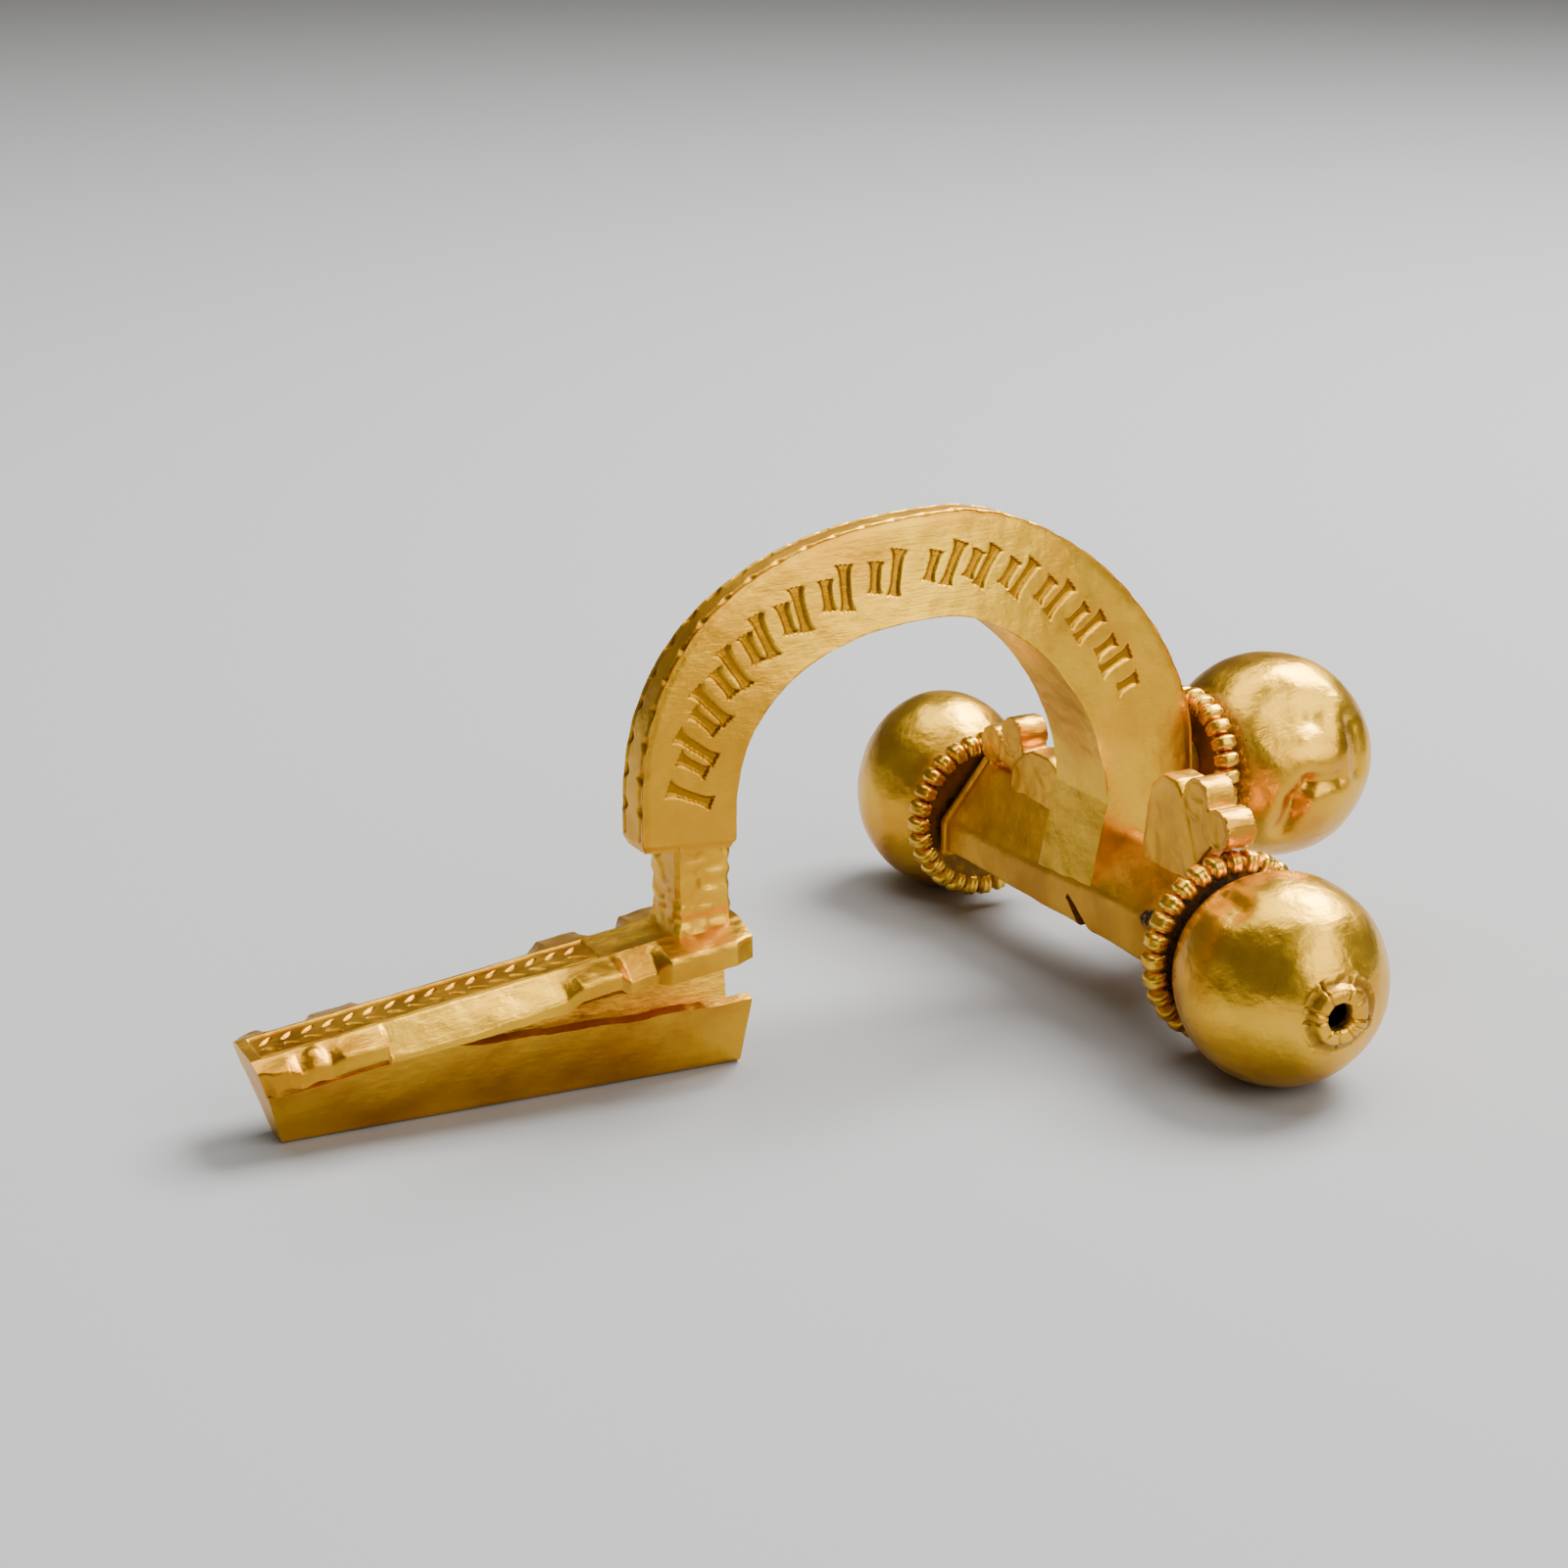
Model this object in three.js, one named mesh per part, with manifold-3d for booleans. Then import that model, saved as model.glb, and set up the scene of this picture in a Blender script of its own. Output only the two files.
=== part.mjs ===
// Gold crossbow brooch, lying on its two arm knobs and its foot.
// Millimetres, +Z up. +X runs from the foot tip to the head knob, +Y to the far arm knob.
import * as THREE from 'three';
import { mergeVertices } from 'three/addons/utils/BufferGeometryUtils.js';
import Module from 'manifold-3d';

const wasm = await Module();
wasm.setup();

// Cross-arm
const ARM_AXIS_Z = 5.13;
const NEAR_COLLAR_FROM_BOW = 10.0;
const FAR_COLLAR_FROM_BOW = 11.7;
const ARM_HALF_WIDTH = 2.8;
const ARM_UNDERSIDE_DROP = 1.35;
const ARM_EDGE_RISE_FAR = 0.25;
const ARM_EDGE_RISE_NEAR = 0.95;
const ARM_EDGE_CHANGE_HALF_LENGTH = 5;
const ARM_RIDGE_RISE = 2.95;
const ARM_RIB_HALF_WIDTH = 0.4;
const ARM_RIB_HEIGHT = 0.3;
const FLANGE_THICKNESS = 0.5;
const FLANGE_STEP = 0.22;
const ARM_SPIGOT_RADIUS = 1.3;
const HINGE_SLOT_WIDTH = 0.36;
const HINGE_SLOT_DEPTH = 2.2;
const HINGE_SLOT_LENGTH = 2.0;
const HINGE_SLOT_FROM_BOW = -2.1;
const HINGE_SLOT_LEAN_DEG = 51;

// Beaded collars
const NEAR_COLLAR_RADIUS = 4.7;
const FAR_COLLAR_RADIUS = 4.45;
const HEAD_COLLAR_RADIUS = 3.65;
const BEAD_HEIGHT = 1.15;
const BEAD_LENGTH = 1.3;
const BEAD_COUNT = 28;
const HEAD_BEAD_COUNT = 24;
const BEAD_GROOVE_DEPTH = 0.34;
const COLLAR_WEB = 0.8;

// Knobs
const KNOB_FROM_COLLAR = 4.14;
const NEAR_KNOB_RADIUS = 5.0;
const FAR_KNOB_HALF_WIDTH = 4.6;
const FAR_KNOB_HALF_HEIGHT = 5.35;
const HEAD_KNOB_RADIUS = 5.17;
const KNOB_NECK_RADIUS = 2.85;
const HEAD_KNOB_NECK_RADIUS = 2.0;
const KNOB_WALL = 0.45;
const NIPPLE_RADIUS = 1.2;
const NIPPLE_HEIGHT = 0.32;
const NIPPLE_HOLE_RADIUS = 0.62;
const REST_FLAT = 0.06;

// Head collar and its stub on the bow
const HEAD_COLLAR_X = 4.65;
const HEAD_COLLAR_Z = 10.7;
const HEAD_KNOB_X = 9.22;
const HEAD_KNOB_Z = 10.3;
const HEAD_STUB_RADIUS = 1.3;

// Bow
const BOW_SPRING_Z = 12.5;
const BOW_OUTER_CENTRE_X = -9.5;
const BOW_OUTER_RISE = 12.43;
const BOW_OUTER_LEFT = 16.18;
const BOW_OUTER_RIGHT = 13.3;
const BOW_OUTER_LEFT_FULLNESS = 2.43;
const BOW_OUTER_RIGHT_FULLNESS = 1.7;
const BOW_INNER_CENTRE_X = -11.0;
const BOW_INNER_RISE = 7.84;
const BOW_INNER_LEFT = 10.32;
const BOW_INNER_RIGHT = 9.21;
const BOW_INNER_LEFT_FULLNESS = 2.32;
const BOW_INNER_RIGHT_FULLNESS = 1.78;
const BOW_INNER_RIGHT_SPRING_Z = 10.0;
const BOW_FOOT_OUTER_X = 2.9;
const BOW_FOOT_INNER_X = -2.7;
const BOW_FOOT_Z = 5.75;
const BOW_OUTER_HALF_WIDTH_NECK = 1.05;
const BOW_OUTER_HALF_WIDTH_TOP = 0.7;
const BOW_OUTER_TAPER_SHARE = 0.28;
const BOW_OUTER_HALF_WIDTH_SPRING = 1.2;
const BOW_OUTER_HALF_WIDTH_HEAD = 1.9;
const BOW_OUTER_WIDENING_FROM = 0.8;
const BOW_SHOULDER_X = 3.75;
const BOW_SHOULDER_Z = 8.5;
const BOW_INNER_HALF_WIDTH_NECK = 2.0;
const BOW_INNER_HALF_WIDTH_HEAD = 2.3;
const BOW_NECK_END_Z = 11.0;
const BOW_STATIONS = 40;

// Row of shallow strokes along the near side of the bow
const STROKE_PLACES = 14;
const STROKE_LENGTH = 1.8;
const STROKE_WIDTH = 0.28;
const STROKE_DEPTH = 0.14;
const STROKE_LEAN_DEG = 16;
const STROKE_FIRST = 0.01;
const STROKE_LAST = 0.87;

// Neck between bow and foot
const NECK_LENGTH_X = 2.9;
const NECK_WIDTH_Y = 2.8;
const NECK_FLARE = 0.22;

// Foot plate
const FOOT_TIP_X = -43.9;
const FOOT_HEEL_X = -20.9;
const FOOT_TURN_DEG = 3.2;
const PLATE_TIP_TOP_Z = 4.35;
const PLATE_HEEL_TOP_Z = 7.45;
const PLATE_DEPTH = 1.5;
const RIM_THICKNESS = 0.75;
const BAND_HALF_WIDTH = 1.3;
const PLATE_TIP_HALF_WIDTH = 2.35;
const PLATE_WAIST_HALF_WIDTH = 2.75;
const PLATE_HEEL_HALF_WIDTH = 3.3;
const RIM_LUG_STEP = 0.3;
const RIM_WAIST_DROP = 1.1;
const RIM_LUG_DROP = 0.22;
const BORDER_LINE_FROM_MIDDLE = 1.05;
const BORDER_LINE_WIDTH = 0.2;
const BORDER_LINE_DEPTH = 0.1;
const BORDER_LENGTH = 16.2;

// Catch sheath
const SHEATH_WALL = 0.5;
const SHEATH_TIP_HALF_WIDTH = 2.3;
const SHEATH_HEEL_HALF_WIDTH = 2.5;
const SHEATH_BOTTOM_HALF_WIDTH = 0.5;
const SHEATH_BOTTOM_ROUND = 0.45;
const SHEATH_LIP_Z = 3.7;
const SHEATH_SLOT_FROM_HEEL = 15.8;
const SHEATH_HEEL_SLANT = 0.5;
const SHEATH_HEEL_OVERHANG = 0.7;
const TIP_SLANT = 1.3;
const SHEATH_TIP_WALL = 0.8;

// Crests beside the bow
const CREST_THICKNESS = 1.7;
const CREST_CURL_RADIUS = 1.0;
const CREST_STEM_WIDTH = 1.2;
const NEAR_CREST_FROM_BOW = 4.5;
const NEAR_LEAF_WIDTH = 2.8;
const NEAR_LEAF_HEIGHT = 4.0;
const NEAR_UPPER_CURL_OUT = 0.82;
const NEAR_UPPER_CURL_UP = 3.5;
const NEAR_OUTER_CURL_OUT = 2.5;
const NEAR_OUTER_CURL_UP = 2.45;
const FAR_CREST_FROM_BOW = 3.5;
const FAR_LEAF_WIDTH = 3.3;
const FAR_LEAF_HEIGHT = 1.9;
const FAR_UPPER_CURL_OUT = 1.1;
const FAR_UPPER_CURL_UP = 2.1;
const FAR_OUTER_CURL_OUT = 3.0;
const FAR_OUTER_CURL_UP = 1.15;

// Seams between neighbouring pieces
const SEAM = 0.03;

function solid(geometry) {
  const bare = geometry.index ? geometry.toNonIndexed() : geometry.clone();
  bare.deleteAttribute('normal');
  bare.deleteAttribute('uv');
  const merged = mergeVertices(bare, 1e-5);
  return new wasm.Manifold(new wasm.Mesh({
    numProp: 3,
    vertProperties: new Float32Array(merged.attributes.position.array),
    triVerts: new Uint32Array(merged.index.array),
  }));
}

function geometryOf(manifold) {
  const mesh = manifold.getMesh();
  const geometry = new THREE.BufferGeometry();
  geometry.setAttribute('position', new THREE.BufferAttribute(new Float32Array(mesh.vertProperties), 3));
  geometry.setIndex(new THREE.BufferAttribute(new Uint32Array(mesh.triVerts), 1));
  geometry.computeVertexNormals();
  return geometry;
}

// Rings of points joined side by side into one closed body with flat ends.
function loft(rings) {
  const n = rings[0].length;
  const position = [];
  const index = [];
  for (const ring of rings) {
    for (const p of ring) {
      position.push(...p);
    }
  }
  for (let i = 0; i + 1 < rings.length; i += 1) {
    for (let j = 0; j < n; j += 1) {
      const a = i * n + j;
      const b = i * n + ((j + 1) % n);
      index.push(a, b, b + n, a, b + n, a + n);
    }
  }
  const start = rings[0].map(([x, y, z]) => new THREE.Vector3(x, y, z));
  const capIndex = capTriangles(start);
  const last = (rings.length - 1) * n;
  for (const [a, b, c] of capIndex) {
    index.push(a, c, b);
    index.push(last + a, last + b, last + c);
  }
  const geometry = new THREE.BufferGeometry();
  geometry.setAttribute('position', new THREE.Float32BufferAttribute(position, 3));
  geometry.setIndex(index);
  return outward(geometry);
}

// Triangles over one flat ring, in the plane that the ring faces most.
function capTriangles(points) {
  const normal = new THREE.Vector3();
  for (let i = 0; i < points.length; i += 1) {
    normal.add(new THREE.Vector3().crossVectors(points[i], points[(i + 1) % points.length]));
  }
  normal.normalize();
  const helper = Math.abs(normal.z) < 0.9 ? new THREE.Vector3(0, 0, 1) : new THREE.Vector3(1, 0, 0);
  const u = new THREE.Vector3().crossVectors(helper, normal).normalize();
  const v = new THREE.Vector3().crossVectors(normal, u);
  const flat = points.map((p) => new THREE.Vector2(p.dot(u), p.dot(v)));
  return THREE.ShapeUtils.triangulateShape(flat, []);
}

function volume(geometry) {
  const p = geometry.attributes.position;
  const index = geometry.index.array;
  const [a, b, c] = [new THREE.Vector3(), new THREE.Vector3(), new THREE.Vector3()];
  let sum = 0;
  for (let i = 0; i < index.length; i += 3) {
    a.fromBufferAttribute(p, index[i]);
    b.fromBufferAttribute(p, index[i + 1]);
    c.fromBufferAttribute(p, index[i + 2]);
    sum += a.dot(b.cross(c)) / 6;
  }
  return sum;
}

function outward(geometry) {
  if (volume(geometry) < 0) {
    const index = Array.from(geometry.index.array);
    for (let i = 0; i < index.length; i += 3) {
      [index[i + 1], index[i + 2]] = [index[i + 2], index[i + 1]];
    }
    geometry.setIndex(index);
  }
  return geometry;
}

function box(x0, x1, y0, y1, z0, z1) {
  const geometry = new THREE.BoxGeometry(x1 - x0, y1 - y0, z1 - z0);
  geometry.translate((x0 + x1) / 2, (y0 + y1) / 2, (z0 + z1) / 2);
  return geometry;
}

const mix = (a, b, t) => a + (b - a) * t;

// Arm section at y, a little house with a rib along its ridge; grow adds to every side.
function armRing(grow, y) {
  const reach = ARM_EDGE_CHANGE_HALF_LENGTH;
  const share = THREE.MathUtils.clamp((reach - y) / (2 * reach), 0, 1);
  const edge = ARM_AXIS_Z + mix(ARM_EDGE_RISE_FAR, ARM_EDGE_RISE_NEAR, share) + grow * 0.4;
  const w = ARM_HALF_WIDTH + grow;
  const rib = ARM_RIB_HALF_WIDTH;
  const low = ARM_AXIS_Z - ARM_UNDERSIDE_DROP - grow;
  const ridge = ARM_AXIS_Z + ARM_RIDGE_RISE + grow;
  return [
    [-w, y, low],
    [w, y, low],
    [w, y, edge],
    [rib * 1.6, y, ridge],
    [rib, y, ridge + ARM_RIB_HEIGHT],
    [-rib, y, ridge + ARM_RIB_HEIGHT],
    [-rib * 1.6, y, ridge],
    [-w, y, edge],
  ];
}

function armPrism(grow, y0, y1) {
  const reach = ARM_EDGE_CHANGE_HALF_LENGTH;
  const stations = [y0, ...[-reach, reach].filter((y) => y > y0 && y < y1), y1];
  return loft(stations.map((y) => armRing(grow, y)));
}

const collarHalf = COLLAR_WEB / 2;
const beadHalf = BEAD_LENGTH / 2;
const armNearEnd = -NEAR_COLLAR_FROM_BOW + beadHalf + SEAM;
const armFarEnd = FAR_COLLAR_FROM_BOW - beadHalf - SEAM;

function makeArm() {
  const overrun = 1.5;
  const slot = new THREE.BoxGeometry(HINGE_SLOT_DEPTH + 1, HINGE_SLOT_WIDTH, HINGE_SLOT_LENGTH + overrun);
  slot.translate((HINGE_SLOT_DEPTH - 1) / 2 - ARM_HALF_WIDTH, 0, (HINGE_SLOT_LENGTH - overrun) / 2);
  slot.rotateX(THREE.MathUtils.degToRad(-HINGE_SLOT_LEAN_DEG));
  slot.translate(0, HINGE_SLOT_FROM_BOW, ARM_AXIS_Z - ARM_UNDERSIDE_DROP);
  const spigotStart = -NEAR_COLLAR_FROM_BOW + collarHalf + SEAM;
  const spigotEnd = FAR_COLLAR_FROM_BOW - collarHalf - SEAM;
  const spigot = new THREE.CylinderGeometry(ARM_SPIGOT_RADIUS, ARM_SPIGOT_RADIUS, spigotEnd - spigotStart, 20);
  spigot.translate(0, (spigotStart + spigotEnd) / 2, ARM_AXIS_Z);
  return solid(armPrism(0, armNearEnd, armFarEnd))
    .add(solid(spigot))
    .add(solid(armPrism(FLANGE_STEP, armNearEnd, armNearEnd + FLANGE_THICKNESS)))
    .add(solid(armPrism(FLANGE_STEP, armFarEnd - FLANGE_THICKNESS, armFarEnd)))
    .subtract(solid(slot));
}

// Collar about +Z: a web with a rim of grains, each grain with two soft ridges.
function collarGeometry(radius, beads) {
  const samples = beads * 4;
  const rimRadius = radius - BEAD_HEIGHT;
  const position = [0, 0, -collarHalf, 0, 0, collarHalf];
  const index = [];
  const rows = 5;
  for (let i = 0; i < samples; i += 1) {
    const phase = i % 4;
    const cut = phase === 0 ? BEAD_GROOVE_DEPTH : phase === 2 ? BEAD_GROOVE_DEPTH * 0.22 : 0;
    const half = BEAD_LENGTH / 2 - cut * 0.7;
    const outer = radius - cut;
    const mid = (rimRadius + outer) / 2;
    const profile = [
      [rimRadius, -collarHalf],
      [mid + 0.1, -half],
      [outer, 0],
      [mid + 0.1, half],
      [rimRadius, collarHalf],
    ];
    const angle = (i / samples) * Math.PI * 2;
    for (const [r, s] of profile) {
      position.push(r * Math.cos(angle), r * Math.sin(angle), s);
    }
  }
  const at = (i, k) => 2 + (i % samples) * rows + k;
  for (let i = 0; i < samples; i += 1) {
    for (let k = 0; k + 1 < rows; k += 1) {
      index.push(at(i, k), at(i + 1, k), at(i + 1, k + 1), at(i, k), at(i + 1, k + 1), at(i, k + 1));
    }
    index.push(0, at(i + 1, 0), at(i, 0));
    index.push(1, at(i, rows - 1), at(i + 1, rows - 1));
  }
  const geometry = new THREE.BufferGeometry();
  geometry.setAttribute('position', new THREE.Float32BufferAttribute(position, 3));
  geometry.setIndex(index);
  return outward(geometry);
}

// Knob about +Z, its flat foot on the collar's face at zero and its nipple at the outer end.
function knobProfile(radius, centre, neck, hollow) {
  const from = Math.acos(Math.min(0.95, (centre - 0.45) / radius));
  const to = Math.asin(NIPPLE_RADIUS / radius);
  const steps = 13;
  const outer = [[neck, 0]];
  for (let i = 0; i <= steps; i += 1) {
    const a = mix(from, Math.PI - to, i / steps);
    outer.push([radius * Math.sin(a), centre - radius * Math.cos(a)]);
  }
  const end = outer[outer.length - 1][1];
  outer.push([NIPPLE_RADIUS * 0.86, end + NIPPLE_HEIGHT]);
  if (!hollow) {
    outer.push([NIPPLE_HOLE_RADIUS, end + NIPPLE_HEIGHT], [0, end + NIPPLE_HEIGHT * 0.5]);
    return [[0, 0], ...outer];
  }
  const inner = [];
  const core = radius - KNOB_WALL;
  const hole = Math.asin(NIPPLE_HOLE_RADIUS / core);
  outer.push([NIPPLE_HOLE_RADIUS, end + NIPPLE_HEIGHT]);
  const back = Math.acos(Math.min(0.95, (centre - KNOB_WALL) / core));
  for (let i = 0; i <= 8; i += 1) {
    const a = mix(Math.PI - hole, back, i / 8);
    inner.push([core * Math.sin(a), centre - core * Math.cos(a)]);
  }
  return [[0, 0], ...outer, ...inner, [0, inner[inner.length - 1][1]]];
}

function knobGeometry(radius, centre, neck, hollow) {
  const points = knobProfile(radius, centre, neck, hollow).map(([r, s]) => new THREE.Vector2(r, s));
  const geometry = new THREE.LatheGeometry(points, 28);
  geometry.rotateX(Math.PI / 2);
  return geometry;
}

// One quarter of a rounded arch: x and z reached at turn t of a right angle.
function quarter(halfWidth, rise, fullness, t) {
  const c = Math.cos(t);
  const s = Math.sin(t);
  return [halfWidth * Math.pow(Math.max(c, 0), 2 / fullness), rise * Math.pow(Math.max(s, 0), 2 / fullness)];
}

function outerPoint(t) {
  if (t < 0.5) {
    const [x, z] = quarter(BOW_OUTER_LEFT, BOW_OUTER_RISE, BOW_OUTER_LEFT_FULLNESS, t * Math.PI);
    return [BOW_OUTER_CENTRE_X - x, BOW_SPRING_Z + z];
  }
  const [x, z] = quarter(BOW_OUTER_RIGHT, BOW_OUTER_RISE, BOW_OUTER_RIGHT_FULLNESS, (1 - t) * Math.PI);
  return [BOW_OUTER_CENTRE_X + x, BOW_SPRING_Z + z];
}

function innerPoint(t) {
  const top = BOW_SPRING_Z + BOW_INNER_RISE;
  if (t < 0.5) {
    const [x, z] = quarter(BOW_INNER_LEFT, BOW_INNER_RISE, BOW_INNER_LEFT_FULLNESS, t * Math.PI);
    return [BOW_INNER_CENTRE_X - x, BOW_SPRING_Z + z];
  }
  const rise = top - BOW_INNER_RIGHT_SPRING_Z;
  const [x, z] = quarter(BOW_INNER_RIGHT, rise, BOW_INNER_RIGHT_FULLNESS, (1 - t) * Math.PI);
  return [BOW_INNER_CENTRE_X + x, BOW_INNER_RIGHT_SPRING_Z + z];
}

function bowRing([ox, oz], [ix, iz], t) {
  const wi = mix(BOW_INNER_HALF_WIDTH_NECK, BOW_INNER_HALF_WIDTH_HEAD, t);
  const taper = Math.min(1, t / BOW_OUTER_TAPER_SHARE);
  const widening = Math.max(0, (t - BOW_OUTER_WIDENING_FROM) / (1 - BOW_OUTER_WIDENING_FROM));
  const arch = mix(BOW_OUTER_HALF_WIDTH_NECK, BOW_OUTER_HALF_WIDTH_TOP, taper);
  const wo = mix(arch, BOW_OUTER_HALF_WIDTH_SPRING, widening);
  return [[ox, -wo, oz], [ix, -wi, iz], [ix, wi, iz], [ox, wo, oz]];
}

// Leaning strokes, two to a place, cut square into the near side of the bow.
function bowStrokes() {
  const strokes = [];
  for (let i = 0; i < STROKE_PLACES; i += 1) {
    for (const [shift, share] of [[-0.3, 1], [0.3, 0.68]]) {
      const t = mix(STROKE_FIRST, STROKE_LAST, (i + 0.5 + shift) / STROKE_PLACES);
      const [outerNear, innerNear, , outerFar] = bowRing(outerPoint(t), innerPoint(t), t).map((p) => new THREE.Vector3(...p));
      const [ahead] = bowRing(outerPoint(t + 0.01), innerPoint(t + 0.01), t + 0.01).map((p) => new THREE.Vector3(...p));
      const radial = outerNear.clone().sub(innerNear).normalize();
      const along = ahead.sub(outerNear).normalize();
      const normal = new THREE.Vector3().crossVectors(radial, along).normalize();
      if (normal.dot(outerFar.clone().sub(outerNear)) > 0) {
        normal.negate();
      }
      const across = new THREE.Vector3().crossVectors(normal, radial);
      const middle = outerNear.clone().add(innerNear).multiplyScalar(0.5);
      const geometry = new THREE.BoxGeometry(STROKE_LENGTH * share, STROKE_WIDTH, STROKE_DEPTH * 2);
      geometry.rotateZ(THREE.MathUtils.degToRad(STROKE_LEAN_DEG));
      geometry.applyMatrix4(new THREE.Matrix4().makeBasis(radial, across, normal).setPosition(middle));
      strokes.push(solid(outward(mergedBox(geometry))));
    }
  }
  return strokes;
}

function mergedBox(geometry) {
  const bare = geometry.clone();
  bare.deleteAttribute('normal');
  bare.deleteAttribute('uv');
  return mergeVertices(bare, 1e-5);
}

const plateTopZ = (x) => mix(PLATE_TIP_TOP_Z, PLATE_HEEL_TOP_Z, (x - FOOT_TIP_X) / (FOOT_HEEL_X - FOOT_TIP_X));

function makeBow() {
  const rings = [];
  const [ox0] = outerPoint(0);
  const [ix0] = innerPoint(0);
  rings.push(bowRing([ox0, BOW_NECK_END_Z], [ix0, BOW_NECK_END_Z], 0));
  for (let i = 0; i <= BOW_STATIONS; i += 1) {
    const t = i / BOW_STATIONS;
    rings.push(bowRing(outerPoint(t), innerPoint(t), t));
  }
  const legShare = (BOW_SPRING_Z - BOW_SHOULDER_Z) / (BOW_SPRING_Z - BOW_FOOT_Z);
  const legRing = (outerX, z, share) => {
    const innerX = mix(innerPoint(1)[0], BOW_FOOT_INNER_X, share);
    const half = mix(BOW_OUTER_HALF_WIDTH_SPRING, BOW_OUTER_HALF_WIDTH_HEAD, share);
    const inner = BOW_INNER_HALF_WIDTH_HEAD;
    return [[outerX, -half, z], [innerX, -inner, z], [innerX, inner, z], [outerX, half, z]];
  };
  rings.push(legRing(BOW_SHOULDER_X, BOW_SHOULDER_Z, legShare));
  rings.push(legRing(BOW_FOOT_OUTER_X, BOW_FOOT_Z, 1));
  const neckRight = ix0;
  const neckLeft = neckRight - NECK_LENGTH_X;
  const half = NECK_WIDTH_Y / 2;
  const neckFoot = plateTopZ(neckRight) - PLATE_DEPTH * 0.5;
  const flareTop = plateTopZ(neckRight) + NECK_FLARE * 1.6;
  const neckRing = (grow, z) => [
    [neckLeft - grow, -half - grow, z],
    [neckRight + grow * 0.3, -half - grow, z],
    [neckRight + grow * 0.3, half + grow, z],
    [neckLeft - grow, half + grow, z],
  ];
  const neck = loft([
    neckRing(0, BOW_NECK_END_Z + 0.4),
    neckRing(0, flareTop),
    neckRing(NECK_FLARE * 0.4, flareTop - NECK_FLARE * 0.8),
    neckRing(NECK_FLARE, neckFoot),
  ]);
  const stub = new THREE.CylinderGeometry(HEAD_STUB_RADIUS, HEAD_STUB_RADIUS, 4, 24);
  stub.rotateZ(Math.PI / 2);
  stub.translate(HEAD_COLLAR_X - collarHalf - SEAM - 2, 0, HEAD_COLLAR_Z);
  const body = solid(loft(rings)).add(solid(neck)).add(solid(stub));
  return bowStrokes().reduce((rest, stroke) => rest.subtract(stroke), body);
}

// Rim outline of the foot plate: place along the foot from tip to heel, half width, drop below the band.
function plateStations() {
  const length = FOOT_HEEL_X - FOOT_TIP_X;
  const tip = PLATE_TIP_HALF_WIDTH;
  const waist = PLATE_WAIST_HALF_WIDTH;
  const heel = PLATE_HEEL_HALF_WIDTH;
  const lug = RIM_LUG_STEP;
  const low = RIM_LUG_DROP;
  const deep = RIM_WAIST_DROP;
  const rows = [
    [0, tip, low],
    [0.06, tip + lug, low],
    [0.085, tip + lug * 0.3, deep * 0.55],
    [0.145, tip + lug * 0.3, deep * 0.55],
    [0.165, waist, low * 1.4],
    [0.25, waist, low * 1.4],
    [0.26, waist - lug * 0.7, deep],
    [0.44, waist + lug * 0.3, deep * 0.9],
    [0.61, waist + lug * 0.5, deep * 0.7],
    [0.64, waist + lug * 1.2, low],
    [0.725, waist + lug * 1.2, low],
    [0.745, heel - lug * 1.6, deep * 0.6],
    [0.78, heel - lug * 1.6, deep * 0.6],
    [0.8, heel, low],
    [0.97, heel, low],
    [1, heel - lug * 0.6, low * 1.5],
  ];
  return rows.map(([u, half, drop]) => ({ x: FOOT_TIP_X + u * length, half, drop }));
}

const plateUnderZ = (x) => plateTopZ(x) - PLATE_DEPTH;

function makePlate() {
  const borderEnd = FOOT_TIP_X + BORDER_LENGTH;
  const line = BORDER_LINE_FROM_MIDDLE;
  const wide = BORDER_LINE_WIDTH / 2;
  const rings = plateStations().map(({ x, half, drop }) => {
    const cut = x < borderEnd ? BORDER_LINE_DEPTH : 0;
    const groove = (side) => [-wide, 0, wide].map((w) => [x, side * line + w, w === 0 ? plateTopZ(x) - cut : plateTopZ(x)]);
    const top = plateTopZ(x);
    const rim = top - drop;
    const under = plateUnderZ(x);
    const rimLow = Math.max(rim - RIM_THICKNESS, under + 0.05);
    const root = Math.min(half - 0.15, SHEATH_TIP_HALF_WIDTH);
    const lean = x === FOOT_TIP_X ? TIP_SLANT : 0;
    const ring = [
      [x, -root, under],
      [x, -half, rimLow],
      [x, -half, rim],
      [x, -BAND_HALF_WIDTH, top],
      ...groove(-1),
      ...groove(1),
      [x, BAND_HALF_WIDTH, top],
      [x, half, rim],
      [x, half, rimLow],
      [x, root, under],
    ];
    return ring.map(([px, py, pz]) => [px + lean * (1 - pz / PLATE_TIP_TOP_Z), py, pz]);
  });
  return solid(loft(rings));
}

// Sheath section at x: half width at the top, rounded narrow bottom; inset shrinks it for the hollow.
function sheathRing(x, slant, inset, topZ, slantFromZ) {
  const t = (x - FOOT_TIP_X) / (FOOT_HEEL_X - FOOT_TIP_X);
  const half = mix(SHEATH_TIP_HALF_WIDTH, SHEATH_HEEL_HALF_WIDTH, t) - inset;
  const low = Math.max(SHEATH_BOTTOM_HALF_WIDTH - inset * 0.5, 0.12);
  const round = SHEATH_BOTTOM_ROUND;
  const base = inset;
  const at = (y, z) => [x + slant * (1 - z / slantFromZ), y, z];
  return [
    at(-low, base),
    at(low, base),
    at(low + round, base + round),
    at(half, topZ),
    at(-half, topZ),
    at(-low - round, base + round),
  ];
}

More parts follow.
